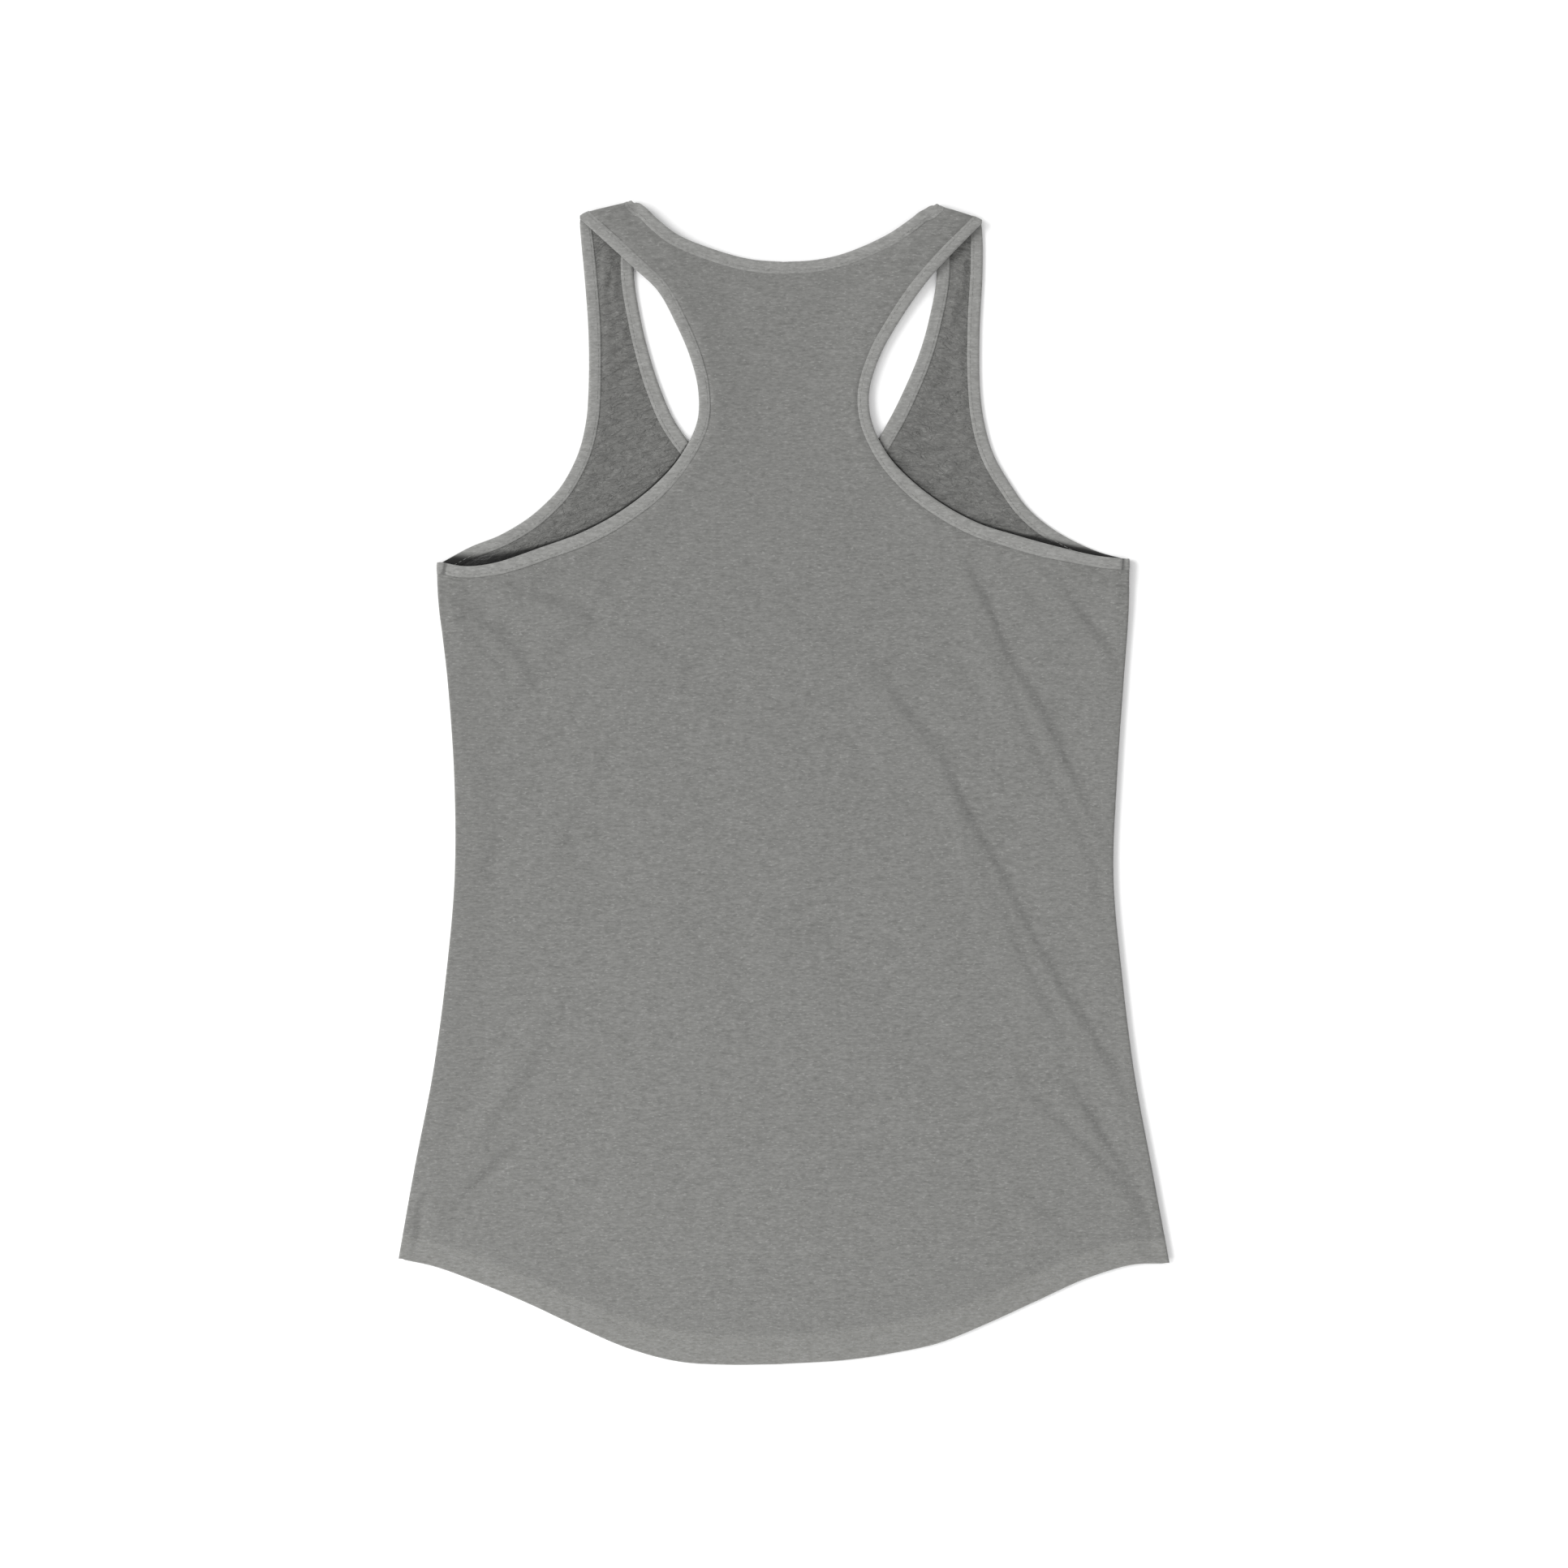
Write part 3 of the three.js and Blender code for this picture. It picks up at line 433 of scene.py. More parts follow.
def front_height(half, x, y, crumpled=True):
    """Height of the middle of the front's ply, with or without its crumples."""
    share = np.maximum.reduce([
        rise_share(half.front_neck, FRONT_RISE["neck"], x, y),
        rise_share(half.front_armhole, FRONT_RISE["armhole"], x, y),
        rise_share(half.shoulder, FRONT_RISE["shoulder"], x, y),
    ])
    height = mix(FRONT_FIELD, FRONT_EDGE, share)
    if not crumpled:
        return height
    neck, armhole = abs(nearest(half.front_neck, x, y)[0]), abs(nearest(half.front_armhole, x, y)[0])
    side = abs(nearest(half.side, x, y)[0])
    neck_width, arm_width = strip_width("front_neck", x, y), strip_width("front_armhole", x, y)
    edge = np.minimum.reduce([neck - neck_width, armhole - arm_width, side - 3])
    free = smooth_step((0, 5), edge) * smooth_step((96, 130), y)
    crumple = 0.5 + 0.5 * waves(x, y, SEED + half.sign, CRUMPLES["lengths"], CRUMPLES["heading"],
                                CRUMPLES["spread"])
    lift = CRUMPLES["height"] * np.clip(crumple, 0, 1) ** 1.5 - crease_depth(FRONT_CREASES, half.sign * x, y)
    puff = FRONT_PUFF * np.maximum(beside_strip(neck, neck_width), beside_strip(armhole, arm_width))
    puff *= smooth_step((0.5, 5), side)
    return height + puff + free * np.clip(lift, 0, FRONT_LIFT)


def back_neck_height(x):
    """The back's bound neck is high at the shoulders and low at the centre."""
    return mix(BACK_NECK_LOW, BACK_EDGE, smooth_step(BACK_NECK_RISE, x))


def back_height(half, x, y):
    """Height of the middle of the back's outer ply."""
    armhole = abs(nearest(half.back_armhole, x, y)[0])
    neck = abs(nearest(half.back_neck, x, y)[0])
    side = abs(nearest(half.side, x, y)[0])
    at = half.sign * x
    field = BACK_FIELD - crease_depth(BACK_CREASES, at, y)
    for number, (ripple, lengths) in enumerate(BACK_RIPPLES):
        field += ripple * waves(at, y, SEED + 3 + number, lengths)
    side_top = front_height(half, x, y, crumpled=False) + 2 * side_radius(y)
    rises = [
        (side_top, BACK_RISE["side"], side),
        (BACK_HEM, BACK_RISE["hem"], abs(nearest(half.hem, x, y)[0])),
        (back_edge_height(x, y), BACK_RISE["armhole"], armhole),
        (back_neck_height(x), BACK_RISE["neck"], neck),
        (BACK_OVER_SCOOP, BACK_RISE["scoop"], abs(nearest(half.front_neck, x, y)[0])),
        (BACK_EDGE, BACK_RISE["shoulder"], abs(nearest(half.shoulder, x, y)[0])),
    ]
    # The rises run into one another softly, as cloth does.
    total = np.zeros(np.shape(x))
    for top, span, distance in rises:
        share = 1 - smooth_step(span, distance)
        rise = np.maximum((top - BACK_FIELD) * share, 0)
        total = (total ** SOFT_JOIN + rise ** SOFT_JOIN) ** (1 / SOFT_JOIN)
    height = field + total
    # Within a bound edge the cloth keeps to the strip, beside it the cloth puffs up unevenly.
    arm_width, neck_width = strip_width("back_armhole", x, y), strip_width("back_neck", x, y)
    bound = np.minimum(armhole - arm_width, neck - neck_width)
    level = np.where(armhole < neck, back_edge_height(x, y), back_neck_height(x))
    height = mix(level, height, smooth_step((0, 7), bound))
    uneven = BACK_PUFF + PUFF_SWING * waves(at, y, SEED + 5, PUFF_LENGTHS)
    height += uneven * np.maximum(beside_strip(armhole, arm_width), beside_strip(neck, neck_width))
    return mix(side_top, height, smooth_step((0.4, 6), side))


def painted_shade(half, x, y):
    """How strongly painted shade darkens a point of the front, standing for the deep shade under the back's bound
    edge.
    """
    outside, _ = nearest(half.back_armhole, x, y)
    width = table(PAINTED_SHADE_WIDTH[half.name], x)
    beside = (x > 54) & (y < 215)
    return np.where(beside, 1 - smooth_step(PAINTED_SHADE_FADE, outside / width), 0.0)


def squared_turn(angle):
    """A quarter turn from level to upright: how far it leans out, how far it drops, and its normal."""
    sine, cosine = np.sin(angle), np.cos(angle)
    facing = np.stack([sine ** (2 - FOLD_SQUARENESS), cosine ** (2 - FOLD_SQUARENESS)])
    return sine ** FOLD_SQUARENESS, 1 - cosine ** FOLD_SQUARENESS, facing / np.linalg.norm(facing, axis=0)


# Grids of cloth

def open_edges(quads, count):
    """The edges that only one of the quads has, out of count points."""
    edges = np.concatenate([quads[:, [i, (i + 1) % 4]] for i in range(4)])
    key = edges[:, 0] * count + edges[:, 1]
    back_key = edges[:, 1] * count + edges[:, 0]
    return edges[~np.isin(key, back_key)]


class Cloth:
    """A grid of points with gaps at the neck and armholes: rows run up, columns from left to right."""

    def __init__(self, rows, columns, faces):
        shape = (rows, 2 * columns + 1)
        self.centre = columns
        self.faces = faces
        self.place = np.full((*shape, 3), np.nan)
        self.turned = np.full((*shape, 3), np.nan)
        self.inner = np.full(shape, HALF_PLY)
        # painted shade that darkens the cloth in the hollow under the back's bound edge
        self.painted_shade = np.zeros(shape)
        self.doubled = np.zeros(shape)

    def put(self, half, row, column, x, y, z, normal=None, inner=None, doubled=None, shade=None):
        """Puts a block of points on one half of the grid, from this row and this column outwards."""
        rows = row + np.arange(x.shape[0])
        columns = self.centre + half.sign * (column + np.arange(x.shape[1]))
        window = np.ix_(rows, columns)
        self.place[window] = np.stack([half.sign * x, y, z], axis=2)
        if normal is not None:
            self.turned[window] = normal * (half.sign, 1, 1)
        for target, value in ((self.inner, inner), (self.doubled, doubled), (self.painted_shade, shade)):
            if value is not None:
                target[window] = value

    def turn_over(self, half, row, column, x, y, z, outward, by_row, **more):
        """The cloth curls about a line towards the other panel, as extra rows or extra columns."""
        radius = more.pop("radius", FOLD_RADIUS)
        angles = np.linspace(0, TURN_END, TURN_STEPS)
        if by_row:
            angles = angles[:, None]
        lean, rise, facing = squared_turn(angles + 0 * x)
        normal = np.stack([outward[0] * facing[0], outward[1] * facing[0], self.faces * facing[1]], axis=2)
        reach, drop = radius * lean, (radius - SEAM_GAP / 2) * rise
        self.put(half, row, column, x + outward[0] * reach, y + outward[1] * reach, z - self.faces * drop,
                 normal=normal, **more)

    def skins(self):
        """Outer and inner surfaces of the wall, and its cells."""
        there = ~np.isnan(self.place[..., 0])
        cell = there[:-1, :-1] & there[:-1, 1:] & there[1:, 1:] & there[1:, :-1]
        slope = np.cross(self.place[1:, 1:] - self.place[:-1, :-1], self.place[1:, :-1] - self.place[:-1, 1:])
        slope = np.where(cell[..., None], slope * self.faces, 0)
        total = np.zeros_like(self.place)
        for window in (np.s_[:-1, :-1], np.s_[:-1, 1:], np.s_[1:, 1:], np.s_[1:, :-1]):
            total[window] += slope
        with np.errstate(invalid="ignore"):
            normal = total / np.linalg.norm(total, axis=2, keepdims=True)
        normal = np.where(np.isnan(self.turned), normal, self.turned)
        outer = self.place + normal * HALF_PLY
        inner = self.place - normal * self.inner[..., None]
        return there, cell, normal, outer, inner

    def build(self, name, materials):
        """The wall as an object: two skins and a rounded rim, marked where it gets painted shade or is doubled."""
        there, cell, normal, outer, inner = self.skins()
        number = np.full(there.shape, -1)
        number[there] = np.arange(there.sum())
        count = there.sum()
        corners = [number[:-1, :-1], number[:-1, 1:], number[1:, 1:], number[1:, :-1]]
        quads = np.stack([corner[cell] for corner in corners], axis=1)
        rim = open_edges(quads, count)
        # The cut or folded edge is rounded: its middle stands a little proud.
        flat_outer, flat_inner = outer[there], inner[there]
        tangent = flat_outer[rim[:, 1]] - flat_outer[rim[:, 0]]
        away = np.cross(tangent, normal[there][rim[:, 0]] * self.faces)
        bulge = np.zeros_like(flat_outer)
        for end in (0, 1):
            np.add.at(bulge, rim[:, end], away)
        with np.errstate(invalid="ignore"):
            bulge /= np.linalg.norm(bulge, axis=1, keepdims=True)
        seam = ~np.isnan(self.turned[there][:, 0])
        proud = RIM_ROUNDING * np.where(seam, 0, 1)[:, None] * np.nan_to_num(bulge)
        middle = (flat_outer + flat_inner) / 2 + proud * (HALF_PLY + self.inner[there])[:, None]
        upper, lower = quads, quads[:, ::-1] + count
        first = np.stack([rim[:, 1], rim[:, 0], rim[:, 0] + 2 * count, rim[:, 1] + 2 * count], axis=1)
        second = np.stack(
            [rim[:, 1] + 2 * count, rim[:, 0] + 2 * count, rim[:, 0] + count, rim[:, 1] + count], axis=1)
        faces = np.concatenate([upper, lower, first, second])
        if self.faces < 0:
            faces = faces[:, ::-1]
        slots = np.r_[np.zeros(len(upper), int), np.ones(len(lower), int), np.zeros(2 * len(rim), int)]
        used = np.unique(faces)
        renumber = np.zeros(3 * count, int)
        renumber[used] = np.arange(len(used))
        places = np.concatenate([flat_outer, flat_inner, middle])[used]
        # the painted shade of the hollow goes to the inner skin only
        shade = self.painted_shade[there]
        marks = {
            "painted_shade": np.concatenate([0 * shade, shade, 0 * shade])[used],
            "doubled": np.tile(self.doubled[there], 3)[used],
        }
        return make_object(name, places, renumber[faces], materials, slots, marks)


# The turned corners are drawn in or out a little: place, which way, how far, and over what reach
DRAWN_IN = [
    ((-122, 336), (0.75, -0.66), 1.4, 4),
    ((-86.8, 343.6), (-0.98, -0.3), 2.2, 3.6),
    ((-85.6, 341), (0.1, 1), 1.9, 3.8),
    ((118.6, 333.6), (-0.75, -0.66), 1.0, 4),
    ((87.2, 341.6), (0.98, -0.3), 2.2, 3.6),
    ((87.2, 339), (0, 1), 2.1, 3.4),
]


def drawn_in(places):
    """The places with the turned corners drawn in or out."""
    moved = np.array(places, float)
    for at, way, amount, reach in DRAWN_IN:
        share = np.exp(-((np.linalg.norm(moved[:, :2] - at, axis=1) / reach) ** 2))
        moved[:, :2] += share[:, None] * amount * np.array(way)
    return moved


def make_object(name, places, faces, materials, slots=None, marks=None):
    """An object from places in mm, with its materials and with marks that its material reads."""
    mesh = bpy.data.meshes.new(name)
    mesh.from_pydata((drawn_in(places) * MM).tolist(), [], np.asarray(faces).tolist())
    for material in materials:
        mesh.materials.append(material)
    if slots is not None:
        mesh.polygons.foreach_set("material_index", slots)
    for mark, values in (marks or {}).items():
        mesh.attributes.new(mark, "FLOAT", "POINT").data.foreach_set("value", values.astype(np.float32))
    mesh.polygons.foreach_set("use_smooth", [True] * len(mesh.polygons))
    mesh.set_sharp_from_angle(angle=SHARP_EDGE)
    mesh.update()
    obj = bpy.data.objects.new(name, mesh)
    bpy.context.scene.collection.objects.link(obj)
    return obj


# Materials

def linear(hex_colour):
    """An sRGB hex colour as linear red, green, blue and alpha."""
    parts = [int(hex_colour[i:i + 2], 16) / 255 for i in (1, 3, 5)]
    return (*[c / 12.92 if c <= 0.04045 else ((c + 0.055) / 1.055) ** 2.4 for c in parts], 1)


def add(tree, kind, links=None, values=None, **settings):
    """Adds a node with its settings, the values of its sockets and the links into them.

    A mix of colours names several sockets alike, so its factor and colours go by number: 0, 6 and 7.
    """
    node = tree.nodes.new(kind)
    for key, value in settings.items():
        setattr(node, key, value)
    for socket, value in (values or {}).items():
        node.inputs[socket].default_value = value
    for socket, source in (links or {}).items():
        tree.links.new(source, node.inputs[socket])
    return node


def new_material(name):
    material = bpy.data.materials.new(name)
    material.use_nodes = True
    material.node_tree.nodes.clear()
    return material, material.node_tree


# Heather yarn shows as tones that drift along the courses, in short and in long streaks.
SHORT_STREAK = (3.4, 1.15)    # length and thickness, drawn coarser than the fibres so that it shows
LONG_STREAK = (9.0, 3.0)
LONG_SHARE = 0.30
STREAK_RANGE = (0.31, 0.71)   # the noise between these goes from the dark to the light tone
FLECK = (2.2, 0.9)            # a fleck of undyed fibre: length and thickness
FLECK_RANGE = (0.60, 0.73)
FLECK_STRENGTH = 0.6
PAINTED_SHADE_TONE = "#1c1c1b"          # the cloth's tone in the painted shade deep in the hollow
WALE = 0.9                    # a column of stitches: the real 0.7 mm, drawn wider so that it shows
COURSE = 0.75                 # a row of stitches
ARM_SLANT = 1.4               # how steeply the arms of a stitch rise
FUZZ = 0.5                    # loose fibres on the face
FUZZ_SHARE = 0.6
KNIT_DEPTH = 0.16
CRUMPLE_SIZE = (8, 2.9)       # a fine crumple of the inside: length and width
CRUMPLE_TILT = 14             # degrees up towards the middle of the garment, on either half


def stretched_noise(tree, place, size, detail, roughness):
    """Noise in spots that are long across the cloth and thin along it."""
    long, thick = size
    fitted = add(tree, "ShaderNodeMapping", {"Vector": place},
                 {"Scale": (1 / (long * MM), 1 / (thick * MM), 1 / (4 * MM))})
    noise = add(tree, "ShaderNodeTexNoise", {"Vector": fitted.outputs["Vector"]},
                {"Scale": 1.0, "Detail": detail, "Roughness": roughness}, noise_dimensions="3D")
    return noise.outputs["Fac"]


def heather_colour(tree, place, single, doubled, flecks):
    """The yarn's tones with light flecks, darkened by painted shade where the cloth lies in the hollow."""
    short = stretched_noise(tree, place, SHORT_STREAK, 3.0, 0.65)
    long = stretched_noise(tree, place, LONG_STREAK, 3.0, 0.65)
    streaks = add(tree, "ShaderNodeMix", {"A": short, "B": long}, {"Factor": LONG_SHARE}, data_type="FLOAT")
    heather = add(tree, "ShaderNodeMapRange", {"Value": streaks.outputs["Result"]},
                  {"From Min": STREAK_RANGE[0], "From Max": STREAK_RANGE[1]})
    one_ply, two_plies = [
        add(tree, "ShaderNodeMix", {"Factor": heather.outputs["Result"]}, {6: linear(dark), 7: linear(light)},
            data_type="RGBA").outputs[2]
        for dark, light in (single, doubled)
    ]
    plies = add(tree, "ShaderNodeAttribute", attribute_name="doubled").outputs["Fac"]
    yarn = add(tree, "ShaderNodeMix", {0: plies, 6: one_ply, 7: two_plies}, data_type="RGBA")
    fibres = stretched_noise(tree, place, FLECK, 1.0, 0.5)
    undyed = add(tree, "ShaderNodeMapRange", {"Value": fibres},
                 {"From Min": FLECK_RANGE[0], "From Max": FLECK_RANGE[1], "To Max": FLECK_STRENGTH})
    base = add(tree, "ShaderNodeMix", {0: undyed.outputs["Result"], 6: yarn.outputs[2]}, {7: linear(flecks)},
               data_type="RGBA")
    # Painted shade: deep in the hollow under the back's edge hardly any light comes back out, so the colour is
    # darkened there.
    painted_shade_share = add(tree, "ShaderNodeAttribute", attribute_name="painted_shade").outputs["Fac"]
    shaded = add(tree, "ShaderNodeMix", {0: painted_shade_share, 6: base.outputs[2]}, {7: linear(PAINTED_SHADE_TONE)},
                 data_type="RGBA")
    return shaded.outputs[2]


def knit_relief(tree, place):
    """Columns of stitches, each a V whose arms rise and fall along the column, under a fine fuzz."""
    split = add(tree, "ShaderNodeSeparateXYZ", {"Vector": place})
    column = add(tree, "ShaderNodeMath", {0: split.outputs["X"]}, {1: 1 / (WALE * MM)}, operation="MULTIPLY")
    within = add(tree, "ShaderNodeMath", {0: column.outputs[0]}, {1: 0.5}, operation="PINGPONG")
    row = add(tree, "ShaderNodeMath", {0: split.outputs["Y"]}, {1: 1 / (COURSE * MM)}, operation="MULTIPLY")
    slant = add(tree, "ShaderNodeMath", {0: within.outputs[0], 2: row.outputs[0]}, {1: ARM_SLANT},
                operation="MULTIPLY_ADD")
    arm = add(tree, "ShaderNodeMath", {0: slant.outputs[0]}, {1: 0.5}, operation="PINGPONG")
    knit = add(tree, "ShaderNodeMath", {0: within.outputs[0], 1: arm.outputs[0]}, operation="MULTIPLY")
    fuzz = add(tree, "ShaderNodeTexNoise", {"Vector": place},
               {"Scale": 1 / (FUZZ * MM), "Detail": 3.0, "Roughness": 0.6})
    surface = add(tree, "ShaderNodeMath", {0: fuzz.outputs["Fac"], 2: knit.outputs[0]}, {1: FUZZ_SHARE},
                  operation="MULTIPLY_ADD")
    relief = add(tree, "ShaderNodeBump", {"Height": surface.outputs[0]},
                 {"Strength": 0.5, "Distance": KNIT_DEPTH * MM})
    return relief.outputs["Normal"]


def crumpled_relief(tree, place, normal, depth):
    """Fine crumples on top of the knit, tilted alike on the two halves."""
    split = add(tree, "ShaderNodeSeparateXYZ", {"Vector": place})
    mirrored = add(tree, "ShaderNodeMath", {0: split.outputs["X"]}, operation="ABSOLUTE")
    halved = add(tree, "ShaderNodeCombineXYZ",
                 {"X": mirrored.outputs[0], "Y": split.outputs["Y"], "Z": split.outputs["X"]})
    turned = add(tree, "ShaderNodeMapping", {"Vector": halved.outputs[0]},
                 {"Rotation": (0, 0, math.radians(CRUMPLE_TILT))})
    long, wide = CRUMPLE_SIZE
    pressed = add(tree, "ShaderNodeMapping", {"Vector": turned.outputs["Vector"]},
                  {"Scale": (1 / (long * MM), 1 / (wide * MM), 1 / (300 * MM))})
    folds = add(tree, "ShaderNodeTexNoise", {"Vector": pressed.outputs["Vector"]},
                {"Scale": 1.0, "Detail": 3.0, "Roughness": 0.6, "Distortion": 0.7})
    relief = add(tree, "ShaderNodeBump", {"Height": folds.outputs["Fac"], "Normal": normal},
                 {"Strength": 1.0, "Distance": depth * MM})
    return relief.outputs["Normal"]


def jersey(name, single, doubled, flecks, crumple=0.0):
    """Cotton-polyester single jersey in heather yarn: matt, with short level streaks and light flecks.

    single and doubled are the dark and light tones of one ply and of the lighter doubled cloth.
    """
    material, tree = new_material(name)
    place = add(tree, "ShaderNodeTexCoord").outputs["Object"]
    colour = heather_colour(tree, place, single, doubled, flecks)
    normal = knit_relief(tree, place)
    if crumple:
        normal = crumpled_relief(tree, place, normal, crumple)
    cloth = add(tree, "ShaderNodeBsdfPrincipled", {"Base Color": colour, "Normal": normal},
                {"Roughness": 0.92, "IOR": 1.47, "Specular IOR Level": 0.25, "Sheen Weight": 0.3,
                 "Sheen Roughness": 0.5})
    add(tree, "ShaderNodeOutputMaterial", {"Surface": cloth.outputs["BSDF"]})
    return material


OUTSIDE = jersey("heather_jersey_knit", ("#5c5c5a", "#797977"), ("#62625f", "#80807e"), "#868684")
INSIDE = jersey("heather_jersey_knit_inside", ("#545452", "#6f6f6d"), ("#5d5d5b", "#7e7e7b"), "#7b7b79",
                crumple=3.6)
STRIP = jersey("heather_jersey_strip", ("#6d6d6b", "#8b8b89"), ("#6d6d6b", "#8b8b89"), "#91918f")


def sewing_thread():
    """Spun polyester thread in the cloth's grey, slightly smoother than the knit."""
    material, tree = new_material("spun_polyester_thread")
    place = add(tree, "ShaderNodeTexCoord").outputs["Object"]
    twist = add(tree, "ShaderNodeTexNoise", {"Vector": place}, {"Scale": 1 / (0.7 * MM), "Detail": 1.0})
    tone = add(tree, "ShaderNodeMix", {"Factor": twist.outputs["Fac"]},
               {6: linear("#6f6f6d"), 7: linear("#828280")}, data_type="RGBA")
    thread = add(tree, "ShaderNodeBsdfPrincipled", {"Base Color": tone.outputs[2]},
                 {"Roughness": 0.7, "IOR": 1.5})
    add(tree, "ShaderNodeOutputMaterial", {"Surface": thread.outputs["BSDF"]})
    return material


THREAD = sewing_thread()


# The two panels

# Room in the grids, and where their rows and columns close up: the hem's rows are shares of a column's
# length, the others are distances in mm from an edge.
GRID_ROWS = 280
GRID_COLUMNS = 160
HEM_ROWS = [0, 0.004, 0.012, 0.022, 0.027, 0.032, 0.0332, 0.0348, 0.038, 0.044, 0.052]
CLOSING_STEPS = [25, 19.5, 15.5, 12.5, 10.3, 8.7, 7.5, 6.6, 5.9, 5.3, 4.6, 3.2, 1.6, 0]
CLOSING_START = 29            # the last even row stays this far below the closing ones
HEM_CLEAR = 0.06              # the even rows start this far up a column, as a share
SIDE_STEPS = [11, 8, 5.6, 3.6, 1.9]
LAST_EVEN_STEP = 3.5          # from the last even column to the first of these
HOLLOW_STEPS = [-2.4, -1.2, -0.4, 0, 0.35, 0.7, 1.05, 1.4, 1.9, 2.6, 3.4, 4.4, 5.6, 7.0, 8.6]
BELOW_HOLLOW = 5              # the last even row stays this far below the hollow
HOLLOW_CLEAR = 3              # the hollow's line stays this far below a column's end
HOLLOW_ROOM = 12              # its rows are squeezed where a column leaves less room than this
ABOVE_ROWS = 25               # rows between the hollow and a column's end


def doubled_share(share):
    """1 within the turned-up hem, 0 above it, with a soft change at its top."""
    return 1 - smooth_step((HEM_SHARE - 0.0022, HEM_SHARE + 0.0014), share)


def add_body(cloth, half, tops, rows, height, hem_lift, guide=None):
    """The body below the armholes: tops are the points that its columns reach, from the centre out."""
    tops = np.array(tops)
    last = len(tops) - 1
    corner_x = crossing(half.side, 1, half.hem[-1, 1])[0]
    width = tops[:, 0] / tops[last, 0]
    hem_y = crossing(half.hem, 0, np.clip(width * corner_x, 0.01, None)) + hem_lift
    top_y = tops[:, 1]
    length = top_y - hem_y
    levels = [hem_y + share * length for share in HEM_ROWS]
    start = hem_y + HEM_CLEAR * length
    if guide is None:
        levels += [mix(start, top_y - CLOSING_START, share) for share in np.linspace(0, 1, rows)]
        levels += [top_y - step for step in CLOSING_STEPS]
    else:
        line = np.minimum(guide(tops[:, 0]), top_y - HOLLOW_CLEAR)
        squeeze = np.clip((top_y - line) / HOLLOW_ROOM, 0.1, 1)
        levels += [mix(start, line - BELOW_HOLLOW, share) for share in np.linspace(0, 1, rows)]
        levels += [line + step * squeeze for step in HOLLOW_STEPS]
        above = line + HOLLOW_STEPS[-1] * squeeze
        levels += [mix(above, top_y, share) for share in np.linspace(0, 1, ABOVE_ROWS + 1)[1:]]
    y = np.array(levels)
    side_share = (y[:, last] - hem_y[last]) / length[last]
    side_x = np.interp(y[:, last], half.side[:, 1], half.side[:, 0])
    side_x = mix(side_x, tops[last, 0], smooth_step((0.9, 1), side_share))
    x = width * side_x[:, None]
    z = height(half, x, y)
    share = (y - hem_y) / length
    doubled = doubled_share(share)
    inner = np.where(share < HEM_SHARE, 3 * HALF_PLY, HALF_PLY)
    # painted shade on the front near the back's bound edge, where it shows in the hollow
    shade = painted_shade(half, x, y) if guide is not None else None
    cloth.put(half, 0, 0, x, y, z, inner=inner, doubled=doubled, shade=shade)
    edge = np.s_[:, last:last + 1]
    cloth.turn_over(half, 0, last, x[edge], y[edge], z[edge], (1, 0), by_row=False,
                    inner=inner[edge], doubled=doubled[edge], radius=side_radius(y[edge]))
    return len(y) - 1


def add_strap(cloth, half, foot, neck_line, arm_line, parts, count, height):
    """A strap from its foot up to the shoulder, between a bound neck edge and a bound armhole edge."""
    neck_end = half.neck + PANEL_INSET * half.along
    arm_end = half.arm - PANEL_INSET * half.along
    share = np.linspace(0, 1, count + 1)[1:]
    inner_y = mix(foot["neck_y"], neck_end[1], share)
    outer_y = mix(foot["arm_y"], arm_end[1], share)
    inner_x = crossing(neck_line, 1, inner_y)
    outer_x = crossing(arm_line, 1, outer_y)
    inner_x[-1], outer_x[-1] = neck_end[0], arm_end[0]
    across_it = np.array([parts(value) for value in share])
    x = mix(inner_x[:, None], outer_x[:, None], across_it)
    y = mix(inner_y[:, None], outer_y[:, None], across_it)
    z = height(half, x, y)
    cloth.put(half, foot["row"] + 1, foot["column"], x, y, z)
    cloth.turn_over(half, foot["row"] + count, foot["column"], x[-1:], y[-1:], z[-1:],
                    half.outward, by_row=True)


def armhole_tops(half, line, from_x, count):
    """Points along an armhole's edge that the body's outer columns reach, out to the underarm."""
    reach = half.underarm[0]
    even = np.linspace(from_x, reach - SIDE_STEPS[0] - LAST_EVEN_STEP, count + 1)[1:]
    xs = [*even, *[reach - step for step in SIDE_STEPS]]
    return [*zip(xs, crossing(line, 0, xs)), (reach, half.underarm[1] - PANEL_INSET)]


def strap_parts(count, edges):
    """Shares across a strap at even steps, with the outermost ones near its bound edges."""
    def parts(share):
        edge = mix(edges[0], edges[1], share)
        return np.r_[0, np.linspace(edge, 1 - edge, count - 1), 1]
    return parts


def near_edge(count):
    """Shares across the racer part's outer columns, closing up towards the bound edge."""
    share = np.linspace(0, 1, count + 1)
    return share * (1.7 - 0.7 * share)


